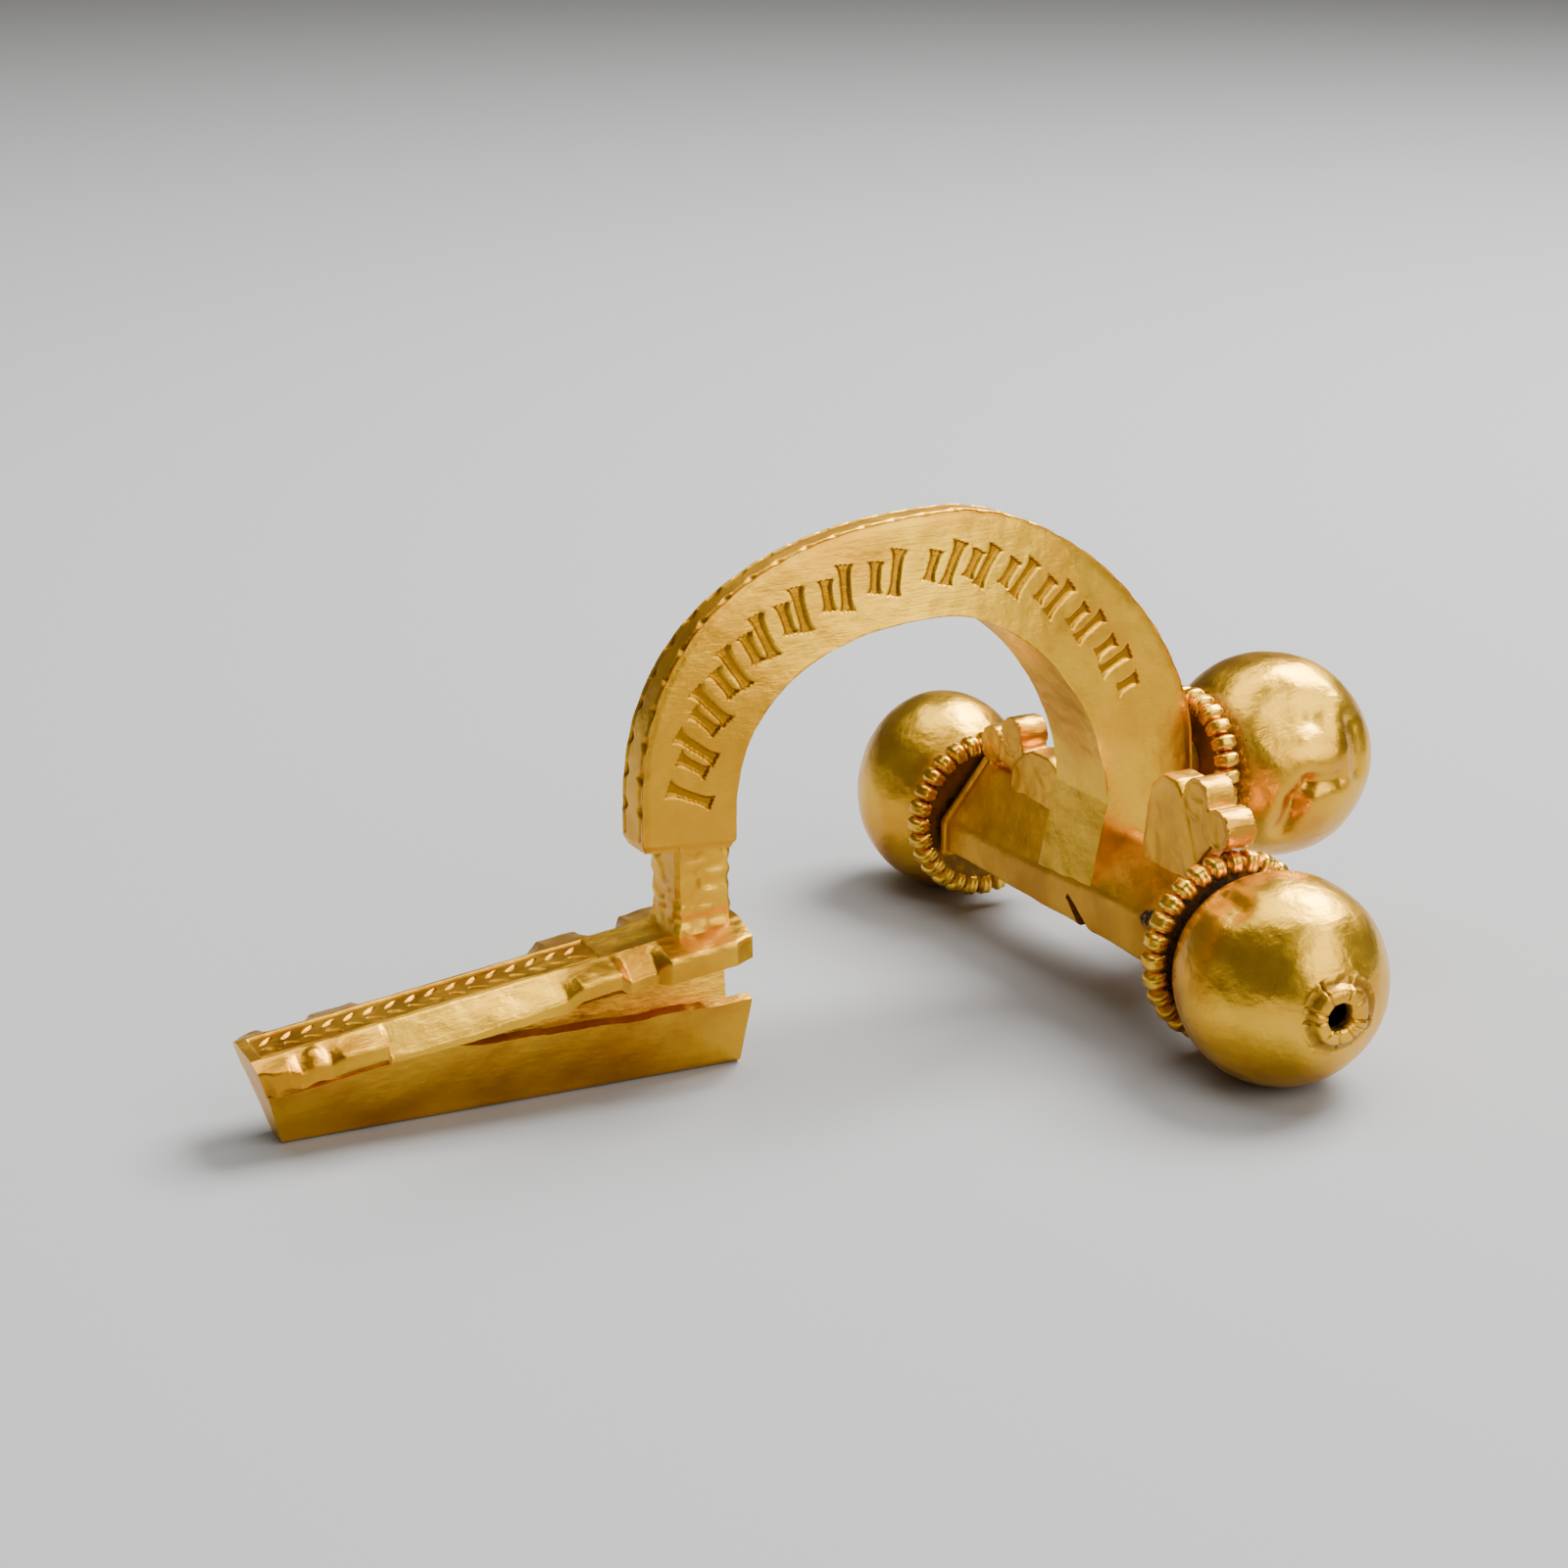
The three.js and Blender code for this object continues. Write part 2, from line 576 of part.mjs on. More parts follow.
function makeSheath() {
  const tipX = FOOT_TIP_X + 0.05;
  const heelX = FOOT_HEEL_X + SHEATH_HEEL_OVERHANG;
  const top = (x) => plateUnderZ(x) - SEAM;
  const stations = [0, 0.25, 0.5, 0.75, 1];
  const outer = loft(stations.map((u) => {
    const x = mix(tipX, heelX, u);
    return sheathRing(x, mix(TIP_SLANT, -SHEATH_HEEL_SLANT, u), 0, top(x), plateTopZ(x));
  }));
  const hollow = loft(stations.map((u) => {
    const x = mix(tipX + SHEATH_TIP_WALL, heelX + 2, u);
    return sheathRing(x, mix(TIP_SLANT, 0, u), SHEATH_WALL, top(x) + 1, plateTopZ(x));
  }));
  const slot = box(heelX - SHEATH_SLOT_FROM_HEEL, heelX + 2, -6, 0, SHEATH_LIP_Z, PLATE_HEEL_TOP_Z + 2);
  return solid(outer).subtract(solid(hollow)).subtract(solid(slot));
}

function disc(radius, a, z, side) {
  const geometry = new THREE.CylinderGeometry(radius, radius, CREST_THICKNESS, 16);
  geometry.rotateZ(Math.PI / 2);
  geometry.translate(0, side * a, z);
  return geometry;
}

function crestPlate(points, side) {
  const shape = new THREE.Shape(points.map(([a, z]) => new THREE.Vector2(side * a, z)));
  const geometry = new THREE.ExtrudeGeometry(shape, { depth: CREST_THICKNESS, bevelEnabled: false });
  const matrix = new THREE.Matrix4().makeBasis(
    new THREE.Vector3(0, 1, 0),
    new THREE.Vector3(0, 0, 1),
    new THREE.Vector3(1, 0, 0),
  );
  geometry.applyMatrix4(matrix);
  geometry.translate(-CREST_THICKNESS / 2, 0, 0);
  return geometry;
}

// Leaf next to the bow, then a stem that ends in an upper and an outer curl.
function makeCrest(side, { from, leafWidth, leafHeight, upperOut, upperUp, outerOut, outerUp }) {
  const base = ARM_AXIS_Z + ARM_RIDGE_RISE + ARM_RIB_HEIGHT;
  const a1 = from + leafWidth;
  const foot = base - 1.2;
  const top = base + leafHeight;
  const leaf = [
    [from - 0.7, foot],
    [a1 + 1.3, foot],
    [a1 + 1.1, base + 0.4],
    [a1 + 0.1, mix(base, top, 0.55)],
    [a1 - 0.4, mix(base, top, 0.85)],
    [a1 - 1.1, top],
    [from + 0.7, top],
    [from + 0.1, mix(base, top, 0.85)],
    [from, mix(base, top, 0.6)],
    [from - 0.6, base + 0.3],
  ];
  const upper = [a1 + upperOut, base + upperUp];
  const outer = [a1 + outerOut, base + outerUp];
  const w = CREST_STEM_WIDTH / 2;
  const stem = [
    [a1 - 0.9, base + 0.6],
    [a1 + 0.9, base + 0.2],
    [outer[0], outer[1] - w],
    [outer[0], outer[1] + w],
    [mix(upper[0], outer[0], 0.42), mix(upper[1], outer[1], 0.62)],
    [upper[0] + w, upper[1]],
    [upper[0] - w, upper[1]],
    [a1 - 0.5, base + leafHeight * 0.5],
  ];
  return solid(crestPlate(leaf, side))
    .add(solid(crestPlate(stem, side)))
    .add(solid(disc(CREST_CURL_RADIUS, upper[0], upper[1], side)))
    .add(solid(disc(CREST_CURL_RADIUS, outer[0], outer[1], side)));
}

const gold = (colour, roughness) => new THREE.MeshStandardMaterial({ color: colour, roughness, metalness: 1 });

const group = new THREE.Group();

function place(name, geometry, material) {
  const mesh = new THREE.Mesh(geometry, material);
  mesh.name = name;
  group.add(mesh);
  return mesh;
}

function turned(manifold, degrees, x) {
  const geometry = geometryOf(manifold);
  geometry.translate(-x, 0, 0);
  geometry.rotateZ(THREE.MathUtils.degToRad(degrees));
  geometry.translate(x, 0, 0);
  return geometry;
}

const arm = makeArm();
const plateGeometry = turned(makePlate(), -FOOT_TURN_DEG, FOOT_HEEL_X);
const sheathGeometry = turned(makeSheath(), -FOOT_TURN_DEG, FOOT_HEEL_X);
const armCut = solid(armPrism(SEAM, armNearEnd, armFarEnd));
const plateCut = solid(plateGeometry).translate([0, 0, SEAM]).add(solid(plateGeometry));
const bow = makeBow().subtract(armCut).subtract(plateCut);
const bowPieces = bow.decompose().sort((p, q) => q.volume() - p.volume());

place('bow', geometryOf(bowPieces[0]), gold(0xd9a93c, 0.3));
place('foot_plate', plateGeometry, gold(0xd2a037, 0.34));
place('catch_sheath', sheathGeometry, gold(0xcf9c36, 0.32));
place('cross_arm', geometryOf(arm), gold(0xcd9a35, 0.33));

const collars = [
  ['near_collar', NEAR_COLLAR_RADIUS, BEAD_COUNT, [0, -NEAR_COLLAR_FROM_BOW, ARM_AXIS_Z], [Math.PI / 2, 0, 0]],
  ['far_collar', FAR_COLLAR_RADIUS, BEAD_COUNT, [0, FAR_COLLAR_FROM_BOW, ARM_AXIS_Z], [-Math.PI / 2, 0, 0]],
  ['head_collar', HEAD_COLLAR_RADIUS, HEAD_BEAD_COUNT, [HEAD_COLLAR_X, 0, HEAD_COLLAR_Z], [0, Math.PI / 2, 0]],
];
for (const [name, radius, beads, position, rotation] of collars) {
  const mesh = place(name, collarGeometry(radius, beads), gold(0xd6a640, 0.3));
  mesh.position.set(...position);
  mesh.rotation.set(...rotation);
}

// Each knob is turned about its own axis, which lies along +Z before it is set in place.
const knobFoot = collarHalf + SEAM;
const armKnobCentre = KNOB_FROM_COLLAR - knobFoot;
const headKnobCentre = HEAD_KNOB_X - HEAD_COLLAR_X - knobFoot;
const nearKnob = knobGeometry(NEAR_KNOB_RADIUS, armKnobCentre, KNOB_NECK_RADIUS, true);
nearKnob.rotateX(Math.PI / 2);
nearKnob.translate(0, -NEAR_COLLAR_FROM_BOW - knobFoot, NEAR_KNOB_RADIUS - REST_FLAT);
const farKnob = knobGeometry(FAR_KNOB_HALF_WIDTH, armKnobCentre, KNOB_NECK_RADIUS, false);
farKnob.rotateX(-Math.PI / 2);
farKnob.scale(1, 1, FAR_KNOB_HALF_HEIGHT / FAR_KNOB_HALF_WIDTH);
farKnob.translate(0, FAR_COLLAR_FROM_BOW + knobFoot, FAR_KNOB_HALF_HEIGHT - REST_FLAT);
const headKnob = knobGeometry(HEAD_KNOB_RADIUS, headKnobCentre, HEAD_KNOB_NECK_RADIUS, false);
headKnob.rotateY(Math.PI / 2);
headKnob.translate(HEAD_COLLAR_X + knobFoot, 0, HEAD_KNOB_Z);

// A small worn flat under each arm knob, where the brooch rests.
const ground = solid(box(-60, 40, -60, 60, -20, 0));
place('near_knob', geometryOf(solid(nearKnob).subtract(ground)), gold(0xd8a83e, 0.27));
place('far_knob', geometryOf(solid(farKnob).subtract(ground)), gold(0xd2a23c, 0.27));
place('head_knob', geometryOf(solid(headKnob)), gold(0xd8a83e, 0.27));

// What the crests must stand clear of: arm, flanges, collars.
function collarEnvelope(radius, y) {
  const geometry = new THREE.CylinderGeometry(
    radius + SEAM,
    radius + SEAM,
    BEAD_LENGTH + 2 * SEAM,
    BEAD_COUNT * 2,
  );
  geometry.translate(0, y, ARM_AXIS_Z);
  return solid(geometry);
}

const crestCut = solid(armPrism(SEAM, armNearEnd, armFarEnd))
  .add(solid(armPrism(FLANGE_STEP + SEAM, armNearEnd - SEAM, armNearEnd + FLANGE_THICKNESS + SEAM)))
  .add(solid(armPrism(FLANGE_STEP + SEAM, armFarEnd - FLANGE_THICKNESS - SEAM, armFarEnd + SEAM)))
  .add(collarEnvelope(NEAR_COLLAR_RADIUS, -NEAR_COLLAR_FROM_BOW))
  .add(collarEnvelope(FAR_COLLAR_RADIUS, FAR_COLLAR_FROM_BOW));
const nearCrest = {
  from: NEAR_CREST_FROM_BOW,
  leafWidth: NEAR_LEAF_WIDTH,
  leafHeight: NEAR_LEAF_HEIGHT,
  upperOut: NEAR_UPPER_CURL_OUT,
  upperUp: NEAR_UPPER_CURL_UP,
  outerOut: NEAR_OUTER_CURL_OUT,
  outerUp: NEAR_OUTER_CURL_UP,
};
const farCrest = {
  from: FAR_CREST_FROM_BOW,
  leafWidth: FAR_LEAF_WIDTH,
  leafHeight: FAR_LEAF_HEIGHT,
  upperOut: FAR_UPPER_CURL_OUT,
  upperUp: FAR_UPPER_CURL_UP,
  outerOut: FAR_OUTER_CURL_OUT,
  outerUp: FAR_OUTER_CURL_UP,
};
for (const [name, side, sizes] of [['near_crest', -1, nearCrest], ['far_crest', 1, farCrest]]) {
  const pieces = makeCrest(side, sizes).subtract(crestCut).decompose();
  pieces.sort((p, q) => q.volume() - p.volume());
  place(name, geometryOf(pieces[0]), gold(0xcb9733, 0.33));
}

// Origin at the bottom centre of the whole brooch.
group.updateMatrixWorld(true);
const bounds = new THREE.Box3().setFromObject(group);
for (const mesh of group.children) {
  mesh.position.x -= (bounds.min.x + bounds.max.x) / 2;
  mesh.position.y -= (bounds.min.y + bounds.max.y) / 2;
  mesh.position.z -= bounds.min.z;
}

export default group;
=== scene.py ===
import math

import bmesh
import bpy
from bpy.props import FloatProperty, FloatVectorProperty, IntProperty, PointerProperty
from mathutils import Matrix, Vector, noise


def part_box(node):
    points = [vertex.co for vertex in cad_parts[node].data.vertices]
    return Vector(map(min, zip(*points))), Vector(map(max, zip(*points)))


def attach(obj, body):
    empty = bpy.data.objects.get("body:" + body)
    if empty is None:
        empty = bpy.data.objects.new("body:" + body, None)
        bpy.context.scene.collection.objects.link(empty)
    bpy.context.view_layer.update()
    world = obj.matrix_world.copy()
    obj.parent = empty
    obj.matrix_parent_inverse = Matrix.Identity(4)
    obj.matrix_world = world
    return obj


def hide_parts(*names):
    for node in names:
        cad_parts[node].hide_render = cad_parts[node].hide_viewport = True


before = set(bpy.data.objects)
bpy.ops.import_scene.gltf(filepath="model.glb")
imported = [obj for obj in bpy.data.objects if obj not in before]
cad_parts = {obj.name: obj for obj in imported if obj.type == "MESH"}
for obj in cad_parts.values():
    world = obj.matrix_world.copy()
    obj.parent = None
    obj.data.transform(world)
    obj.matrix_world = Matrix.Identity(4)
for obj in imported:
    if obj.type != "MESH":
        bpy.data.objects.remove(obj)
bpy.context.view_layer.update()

bl_info = {
    "name": "Gold crossbow brooch",
    "version": (1, 0, 0),
    "blender": (4, 5, 0),
    "location": "3D View > Sidebar > Brooch",
    "description": "Models a late Roman gold crossbow brooch over its packed solids",
    "category": "Add Mesh",
}

MM = 0.001
QUARTER_TURN = math.pi / 2
DIRT = "#1B120A"


def linear(colour):
    """Colour as #RRGGBB to linear values with alpha."""
    values = []
    for i in (1, 3, 5):
        c = int(colour[i:i + 2], 16) / 255
        values.append(c / 12.92 if c <= 0.04045 else ((c + 0.055) / 1.055) ** 2.4)
    return (*values, 1.0)


def size(name, description, default):
    """A length in millimetres, kept in metres."""
    return FloatProperty(name=name, description=description, default=default * MM, precision=5,
                         unit="LENGTH", subtype="DISTANCE")


def ratio(name, description, default):
    return FloatProperty(name=name, description=description, default=default, precision=3)


def angle(name, description, default):
    return FloatProperty(name=name, description=description, default=math.radians(default), unit="ROTATION")


def count(name, description, default):
    return IntProperty(name=name, description=description, default=default, min=1)


def tint(name, description, default):
    return FloatVectorProperty(name=name, description=description, default=linear(default), size=4,
                               min=0.0, max=1.0, subtype="COLOR")


class BowSizes(bpy.types.PropertyGroup):
    spring_z: size("Spring height", "Height at which the arch begins", 12.5)
    outer_centre_x: size("Outer centre", "Where the crown of the outer edge lies", -9.5)
    outer_rise: size("Outer rise", "Rise of the outer edge", 12.43)
    outer_left: size("Outer left", "Reach of the outer edge to the foot side", 16.18)
    outer_right: size("Outer right", "Reach of the outer edge to the head side", 13.3)
    outer_left_fullness: ratio("Outer left fullness", "Two is an ellipse, more is squarer", 2.43)
    outer_right_fullness: ratio("Outer right fullness", "Two is an ellipse, less is flatter", 1.7)
    inner_centre_x: size("Inner centre", "Where the crown of the inner edge lies", -11.0)
    inner_rise: size("Inner rise", "Rise of the inner edge", 7.84)
    inner_left: size("Inner left", "Reach of the inner edge to the foot side", 10.32)
    inner_right: size("Inner right", "Reach of the inner edge to the head side", 9.21)
    inner_left_fullness: ratio("Inner left fullness", "Two is an ellipse, more is squarer", 2.32)
    inner_right_fullness: ratio("Inner right fullness", "Two is an ellipse, less is flatter", 1.78)
    inner_right_spring_z: size("Inner right spring", "Height where the head leg straightens", 10.0)
    foot_outer_x: size("Foot outer", "Outer edge of the bow on the arm", 2.9)
    foot_inner_x: size("Foot inner", "Inner edge of the bow on the arm", -2.7)
    foot_z: size("Foot height", "Lower end of the bow, inside the arm", 5.75)
    outer_half_neck: size("Outer half width at neck", "Half width of the outer face at the neck", 1.05)
    outer_half_top: size("Outer half width", "Half width of the outer face over the top", 0.7)
    taper_share: ratio("Taper share", "Part of the arch over which the outer face narrows", 0.28)
    outer_half_spring: size("Outer half width at spring", "Half width of the outer face above the arm", 1.2)
    outer_half_head: size("Outer half width at head", "Half width of the outer face at the arm", 1.9)
    widening_from: ratio("Widening from", "Share of the arch where the outer face widens again", 0.8)
    shoulder_x: size("Shoulder", "Outer edge beside the head collar", 3.75)
    shoulder_z: size("Shoulder height", "Height of the shoulder", 8.5)
    inner_half_neck: size("Inner half width at neck", "Half width of the inner face at the neck", 2.0)
    inner_half_head: size("Inner half width at head", "Half width of the inner face at the arm", 2.3)
    neck_end_z: size("Neck end", "Height of the step between bow and neck", 11.0)
    neck_length: size("Neck length", "Neck, measured along the foot", 2.9)
    neck_width: size("Neck width", "Neck, measured across the foot", 2.8)
    stub_radius: size("Stub radius", "Stub that carries the head collar", 1.3)
    stroke_places: count("Stroke places", "Places in the row of strokes", 14)
    stroke_length: size("Stroke length", "Longer stroke of each place", 2.1)
    stroke_width: size("Stroke width", "Width of a stroke at its middle", 0.56)
    stroke_depth: size("Stroke depth", "Depth of a stroke", 0.15)
    stroke_lean: angle("Stroke lean", "Lean of the strokes", 16.0)
    stroke_first: ratio("First stroke", "Share of the arch where the row begins", 0.01)
    stroke_last: ratio("Last stroke", "Share of the arch where the row ends", 0.87)
    punch_pitch: size("Punch pitch", "Step of the notches on the outer face", 1.25)
    punch_depth: size("Punch depth", "Depth of the notches", 0.16)
    rows: count("Rows", "Rows of faces along the bow", 640)
    bright: tint("Bright gold", "Clean metal of the bow", "#F0BC2A")
    deep: tint("Deep gold", "Toned metal of the bow", "#DA9C22")
    # Painted shade: colour that darkens the strokes, the punches and the lower head leg.
    recess_shade: tint("Painted shade tint", "Painted shade in the strokes and punches and low on the head leg", "#A87408")


class FootSizes(bpy.types.PropertyGroup):
    tip_x: size("Tip", "Tip of the foot", -43.9)
    heel_x: size("Heel", "Heel of the foot plate", -20.9)
    turn: angle("Turn", "The foot turns this much about its heel", 3.2)
    tip_top_z: size("Tip height", "Top of the plate at the tip", 4.35)
    heel_top_z: size("Heel height", "Top of the plate at the heel", 7.45)
    depth: size("Plate depth", "Top to underside", 1.5)
    rim_thickness: size("Rim thickness", "Thickness of the rim", 0.75)
    heel_rim: size("Heel rim thickness", "Thickness of the rim at the heel", 1.25)
    band_half: size("Band half width", "Half width of the raised band", 1.3)
    tip_half: size("Tip half width", "Half width at the tip", 2.35)
    waist_half: size("Waist half width", "Half width between the steps", 2.75)
    heel_half: size("Heel half width", "Half width at the heel", 3.3)
    lug_step: size("Lug step", "How far the steps stand out", 0.3)
    waist_drop: size("Waist drop", "How far the rim drops between the steps", 1.1)
    lug_drop: size("Lug drop", "How far the rim drops at the steps", 0.22)
    line_from_middle: size("Border line", "Border lines, from the middle", 1.05)
    line_width: size("Line width", "Width of a border line", 0.22)
    line_depth: size("Line depth", "Depth of a border line", 0.1)
    line_length: size("Line length", "Length of the border lines", 16.2)
    leaf_pitch: size("Leaf pitch", "Step of the punched leaves", 0.95)
    leaf_depth: size("Leaf depth", "Depth of the punched leaves", 0.13)
    field_depth: size("Field depth", "Depth of the field between the border lines", 0.06)
    sheath_wall: size("Sheath wall", "Thickness of the sheath", 0.5)
    sheath_tip_half: size("Sheath tip half width", "Half width at the tip", 2.3)
    sheath_heel_half: size("Sheath heel half width", "Half width at the heel", 2.5)
    sheath_low_half: size("Sheath bottom half width", "Half width of the rounded bottom", 0.5)
    sheath_round: size("Sheath rounding", "Rounding of the bottom", 0.45)
    lip_tip_z: size("Lip height", "Lip of the open side at the tip end", 3.8)
    lip_heel_z: size("Heel lip height", "Lip of the open side at the heel", 3.5)
    slot_length: size("Slot length", "Open side, from the heel", 15.8)
    heel_slant: size("Heel slant", "Slant of the heel end", 0.5)
    heel_overhang: size("Heel overhang", "Sheath past the plate", 0.7)
    tip_slant: size("Tip slant", "Slant of the tip end", 1.3)
    tip_wall: size("Tip wall", "Wall at the tip", 0.8)
    bright: tint("Bright gold", "Clean metal of the plate", "#E8B22A")
    deep: tint("Deep gold", "Toned metal of the plate", "#C4861C")
    # Painted shade: colour that darkens the leaves, the border lines and the sunk field.
    recess_shade: tint("Painted shade tint", "Painted shade in the leaves, lines and sunk field", "#A0680C")
    sheath_bright: tint("Bright sheet", "Clean metal of the sheath", "#E4AC2A")
    sheath_deep: tint("Deep sheet", "Toned metal of the sheath", "#C48620")


class ArmSizes(bpy.types.PropertyGroup):
    axis_z: size("Axis height", "Height of the arm's axis", 5.13)
    near_collar: size("Near collar", "From the bow to the near collar", 10.0)
    far_collar: size("Far collar", "From the bow to the far collar", 11.7)
    half_width: size("Half width", "Half width of the arm", 2.8)
    underside: size("Underside", "Underside, below the axis", 1.35)
    edge_far: size("Far edge", "Side edge above the axis, far half", 0.25)
    edge_near: size("Near edge", "Side edge above the axis, near half", 0.95)
    edge_reach: size("Edge change", "Half the length over which the edge rises", 5.0)
    ridge: size("Ridge", "Ridge, above the axis", 2.95)
    rib_half: size("Rib half width", "Half width of the rib on the ridge", 0.4)
    rib_height: size("Rib height", "Height of the rib", 0.3)
    flange: size("Flange thickness", "Flange at each end", 0.5)
    flange_step: size("Flange step", "How far a flange stands out", 0.22)
    spigot_radius: size("Spigot radius", "Round end inside a collar", 1.3)
    slot_width: size("Hinge slot width", "Width of the hinge slot at its end", 0.34)
    slot_mouth: size("Hinge slot mouth", "Width of the hinge slot below the underside", 0.9)
    slot_depth: size("Hinge slot depth", "Depth of the hinge slot", 2.2)
    slot_length: size("Hinge slot length", "Length up from the underside", 2.0)
    slot_y: size("Hinge slot place", "Mouth of the slot, from the bow", -2.1)
    slot_lean: angle("Hinge slot lean", "Lean of the slot", 51.0)
    bright: tint("Bright gold", "Clean metal of the arm", "#DCA42C")
    deep: tint("Deep gold", "Toned metal of the arm", "#B68022")


class CollarSizes(bpy.types.PropertyGroup):
    near_radius: size("Near radius", "Near collar", 4.7)
    far_radius: size("Far radius", "Far collar", 4.45)
    head_radius: size("Head radius", "Head collar", 3.65)
    head_x: size("Head collar place", "Head collar, from the arm's axis", 4.65)
    head_z: size("Head collar height", "Height of the head collar", 10.7)
    bead_height: size("Bead height", "Height of the beads", 1.15)
    bead_length: size("Bead length", "Length of a bead along the axis", 1.3)
    web: size("Web", "Thickness of the web", 0.8)
    beads: count("Beads", "Beads on an arm collar", 28)
    head_beads: count("Head beads", "Beads on the head collar", 24)
    clearance: size("Clearance", "Between neighbouring pieces", 0.03)
    bright: tint("Bright gold", "Clean metal of the beads", "#F2C038")
    deep: tint("Deep gold", "Toned metal of the beads", "#D49A26")
    # Painted shade: colour that darkens the web behind the beads.
    recess_shade: tint("Painted shade tint", "Painted shade on the web behind the beads", "#7C5010")


class KnobSizes(bpy.types.PropertyGroup):
    from_collar: size("From collar", "Knob centre, from its collar", 4.14)
    near_radius: size("Near radius", "Near knob", 5.0)
    far_half_width: size("Far half width", "Far knob", 4.6)
    far_half_height: size("Far half height", "Far knob", 5.35)
    head_radius: size("Head radius", "Head knob", 5.17)
    head_x: size("Head place", "Head knob centre, from the arm's axis", 9.22)
    head_z: size("Head height", "Head knob centre", 10.3)
    neck: size("Neck radius", "Foot of an arm knob", 2.85)
    head_neck: size("Head neck radius", "Foot of the head knob", 2.0)
    wall: size("Wall", "Wall of the near knob", 0.45)
    nipple_radius: size("Nipple radius", "Little boss at the end", 1.2)
    nipple_height: size("Nipple height", "Height of the boss", 0.32)
    hole_radius: size("Hole radius", "Hole in the boss", 0.62)
    rest_flat: size("Rest flat", "Depth of the worn flat", 0.06)
    boss_shift: size("Boss shift", "How far the near knob's boss sits towards the foot", 0.5)
    segments: count("Segments", "Faces round a knob", 160)
    bright: tint("Bright gold", "Clean metal of the knobs", "#ECB62E")
    deep: tint("Deep gold", "Toned metal of the knobs", "#CE9022")
    # Painted shade: colour that darkens the inside of the hollow knob and the ring round the boss.
    recess_shade: tint("Painted shade tint", "Painted shade inside the knob and round the boss", "#885A12")


class CrestSizes(bpy.types.PropertyGroup):
    thickness: size("Thickness", "Thickness of a crest", 1.7)
    curl_radius: size("Curl radius", "Radius of a curl", 1.0)
    stem_width: size("Stem width", "Width of the stem", 1.2)
    near_from: size("Near crest", "Near crest, from the bow", 4.5)
    near_leaf_width: size("Near leaf width", "Near crest", 2.8)
    near_leaf_height: size("Near leaf height", "Near crest", 4.0)
    near_upper_out: size("Near upper curl out", "Near crest", 0.82)
    near_upper_up: size("Near upper curl up", "Near crest", 3.5)
    near_outer_out: size("Near outer curl out", "Near crest", 2.5)
    near_outer_up: size("Near outer curl up", "Near crest", 2.45)
    far_from: size("Far crest", "Far crest, from the bow", 3.5)
    far_leaf_width: size("Far leaf width", "Far crest", 3.3)
    far_leaf_height: size("Far leaf height", "Far crest", 1.9)
    far_upper_out: size("Far upper curl out", "Far crest", 1.1)
    far_upper_up: size("Far upper curl up", "Far crest", 2.1)
    far_outer_out: size("Far outer curl out", "Far crest", 3.0)
    far_outer_up: size("Far outer curl up", "Far crest", 1.15)
    bright: tint("Bright gold", "Clean metal of the crests", "#E6AE2C")
    deep: tint("Deep gold", "Toned metal of the crests", "#C08622")


class StageSizes(bpy.types.PropertyGroup):
    floor: size("Floor", "Side of the floor", 6000.0)
    lens: FloatProperty(name="Lens", description="Focal length of the camera", default=74.78, unit="CAMERA")
    camera_x: size("Camera along", "Camera, from the bow along the foot", -84.47)
    camera_y: size("Camera across", "Camera, from the bow along the arm", -124.77)
    camera_z: size("Camera height", "Camera, above the floor", 59.43)
    azimuth: angle("Azimuth", "Camera, from straight ahead", -28.06)
    elevation: angle("Elevation", "Camera, above the floor", 18.22)
    paper: tint("Paper", "Floor", "#9E9E9E")
    air: tint("Air", "Light from all round", "#D0CBC2")
    air_strength: ratio("Air strength", "Strength of the light from all round", 0.24)


GROUPS = {
    "brooch_bow": BowSizes,
    "brooch_foot": FootSizes,
    "brooch_arm": ArmSizes,
    "brooch_collar": CollarSizes,
    "brooch_knob": KnobSizes,
    "brooch_crest": CrestSizes,
    "brooch_stage": StageSizes,
}


# Shared helpers

def brooch_origin():
    """Crossing of the bow's plane and the arm's axis, on the floor, in the row frame."""
    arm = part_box("cross_arm")
    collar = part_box("near_collar")
    x = (arm[0][0] + arm[1][0]) / 2
    y = (collar[0][1] + collar[1][1]) / 2 + bpy.context.scene.brooch_arm.near_collar
    return Vector((x, y, 0))


def mix(a, b, t):
    return a + (b - a) * t


def smooth(t):
    t = max(0.0, min(1.0, t))
    return t * t * (3 - 2 * t)


def wobble(point, scale, seed=0.0):
    """Soft noise from -1 to 1; scale is the size of a bump in metres."""
    return noise.noise(point / scale + Vector((seed, seed * 1.7, seed * 0.3)))


def tube(rows):
    """Closed body from rows of points that all have one length."""
    columns = len(rows[0])
    last = len(rows) - 1
    bm = bmesh.new()
    bmesh.ops.create_cone(bm, cap_ends=True, segments=columns, radius1=1, radius2=1, depth=last)
    along = [e for e in bm.edges if abs(e.verts[0].co.z - e.verts[1].co.z) > 0.5]
    if last > 1:
        bmesh.ops.subdivide_edges(bm, edges=along, cuts=last - 1, use_grid_fill=True)
    for v in bm.verts:
        i = round(v.co.z + last / 2)
        k = round(math.atan2(v.co.x, v.co.y) / math.tau * columns) % columns
        v.co = rows[i][k]
    return bm


def lathe(profile, segments):
    """Closed body turned about +Z from (radius, height) points that start and end on the axis."""
    bm = bmesh.new()
    verts = [bm.verts.new((r, 0, z)) for r, z in profile]
    edges = [bm.edges.new(pair) for pair in zip(verts, verts[1:])]
    bmesh.ops.spin(bm, geom=verts + edges, cent=(0, 0, 0), axis=(0, 0, 1), angle=math.tau,
                   steps=segments, use_merge=True)
    bmesh.ops.remove_doubles(bm, verts=bm.verts, dist=1e-6)
    return bm


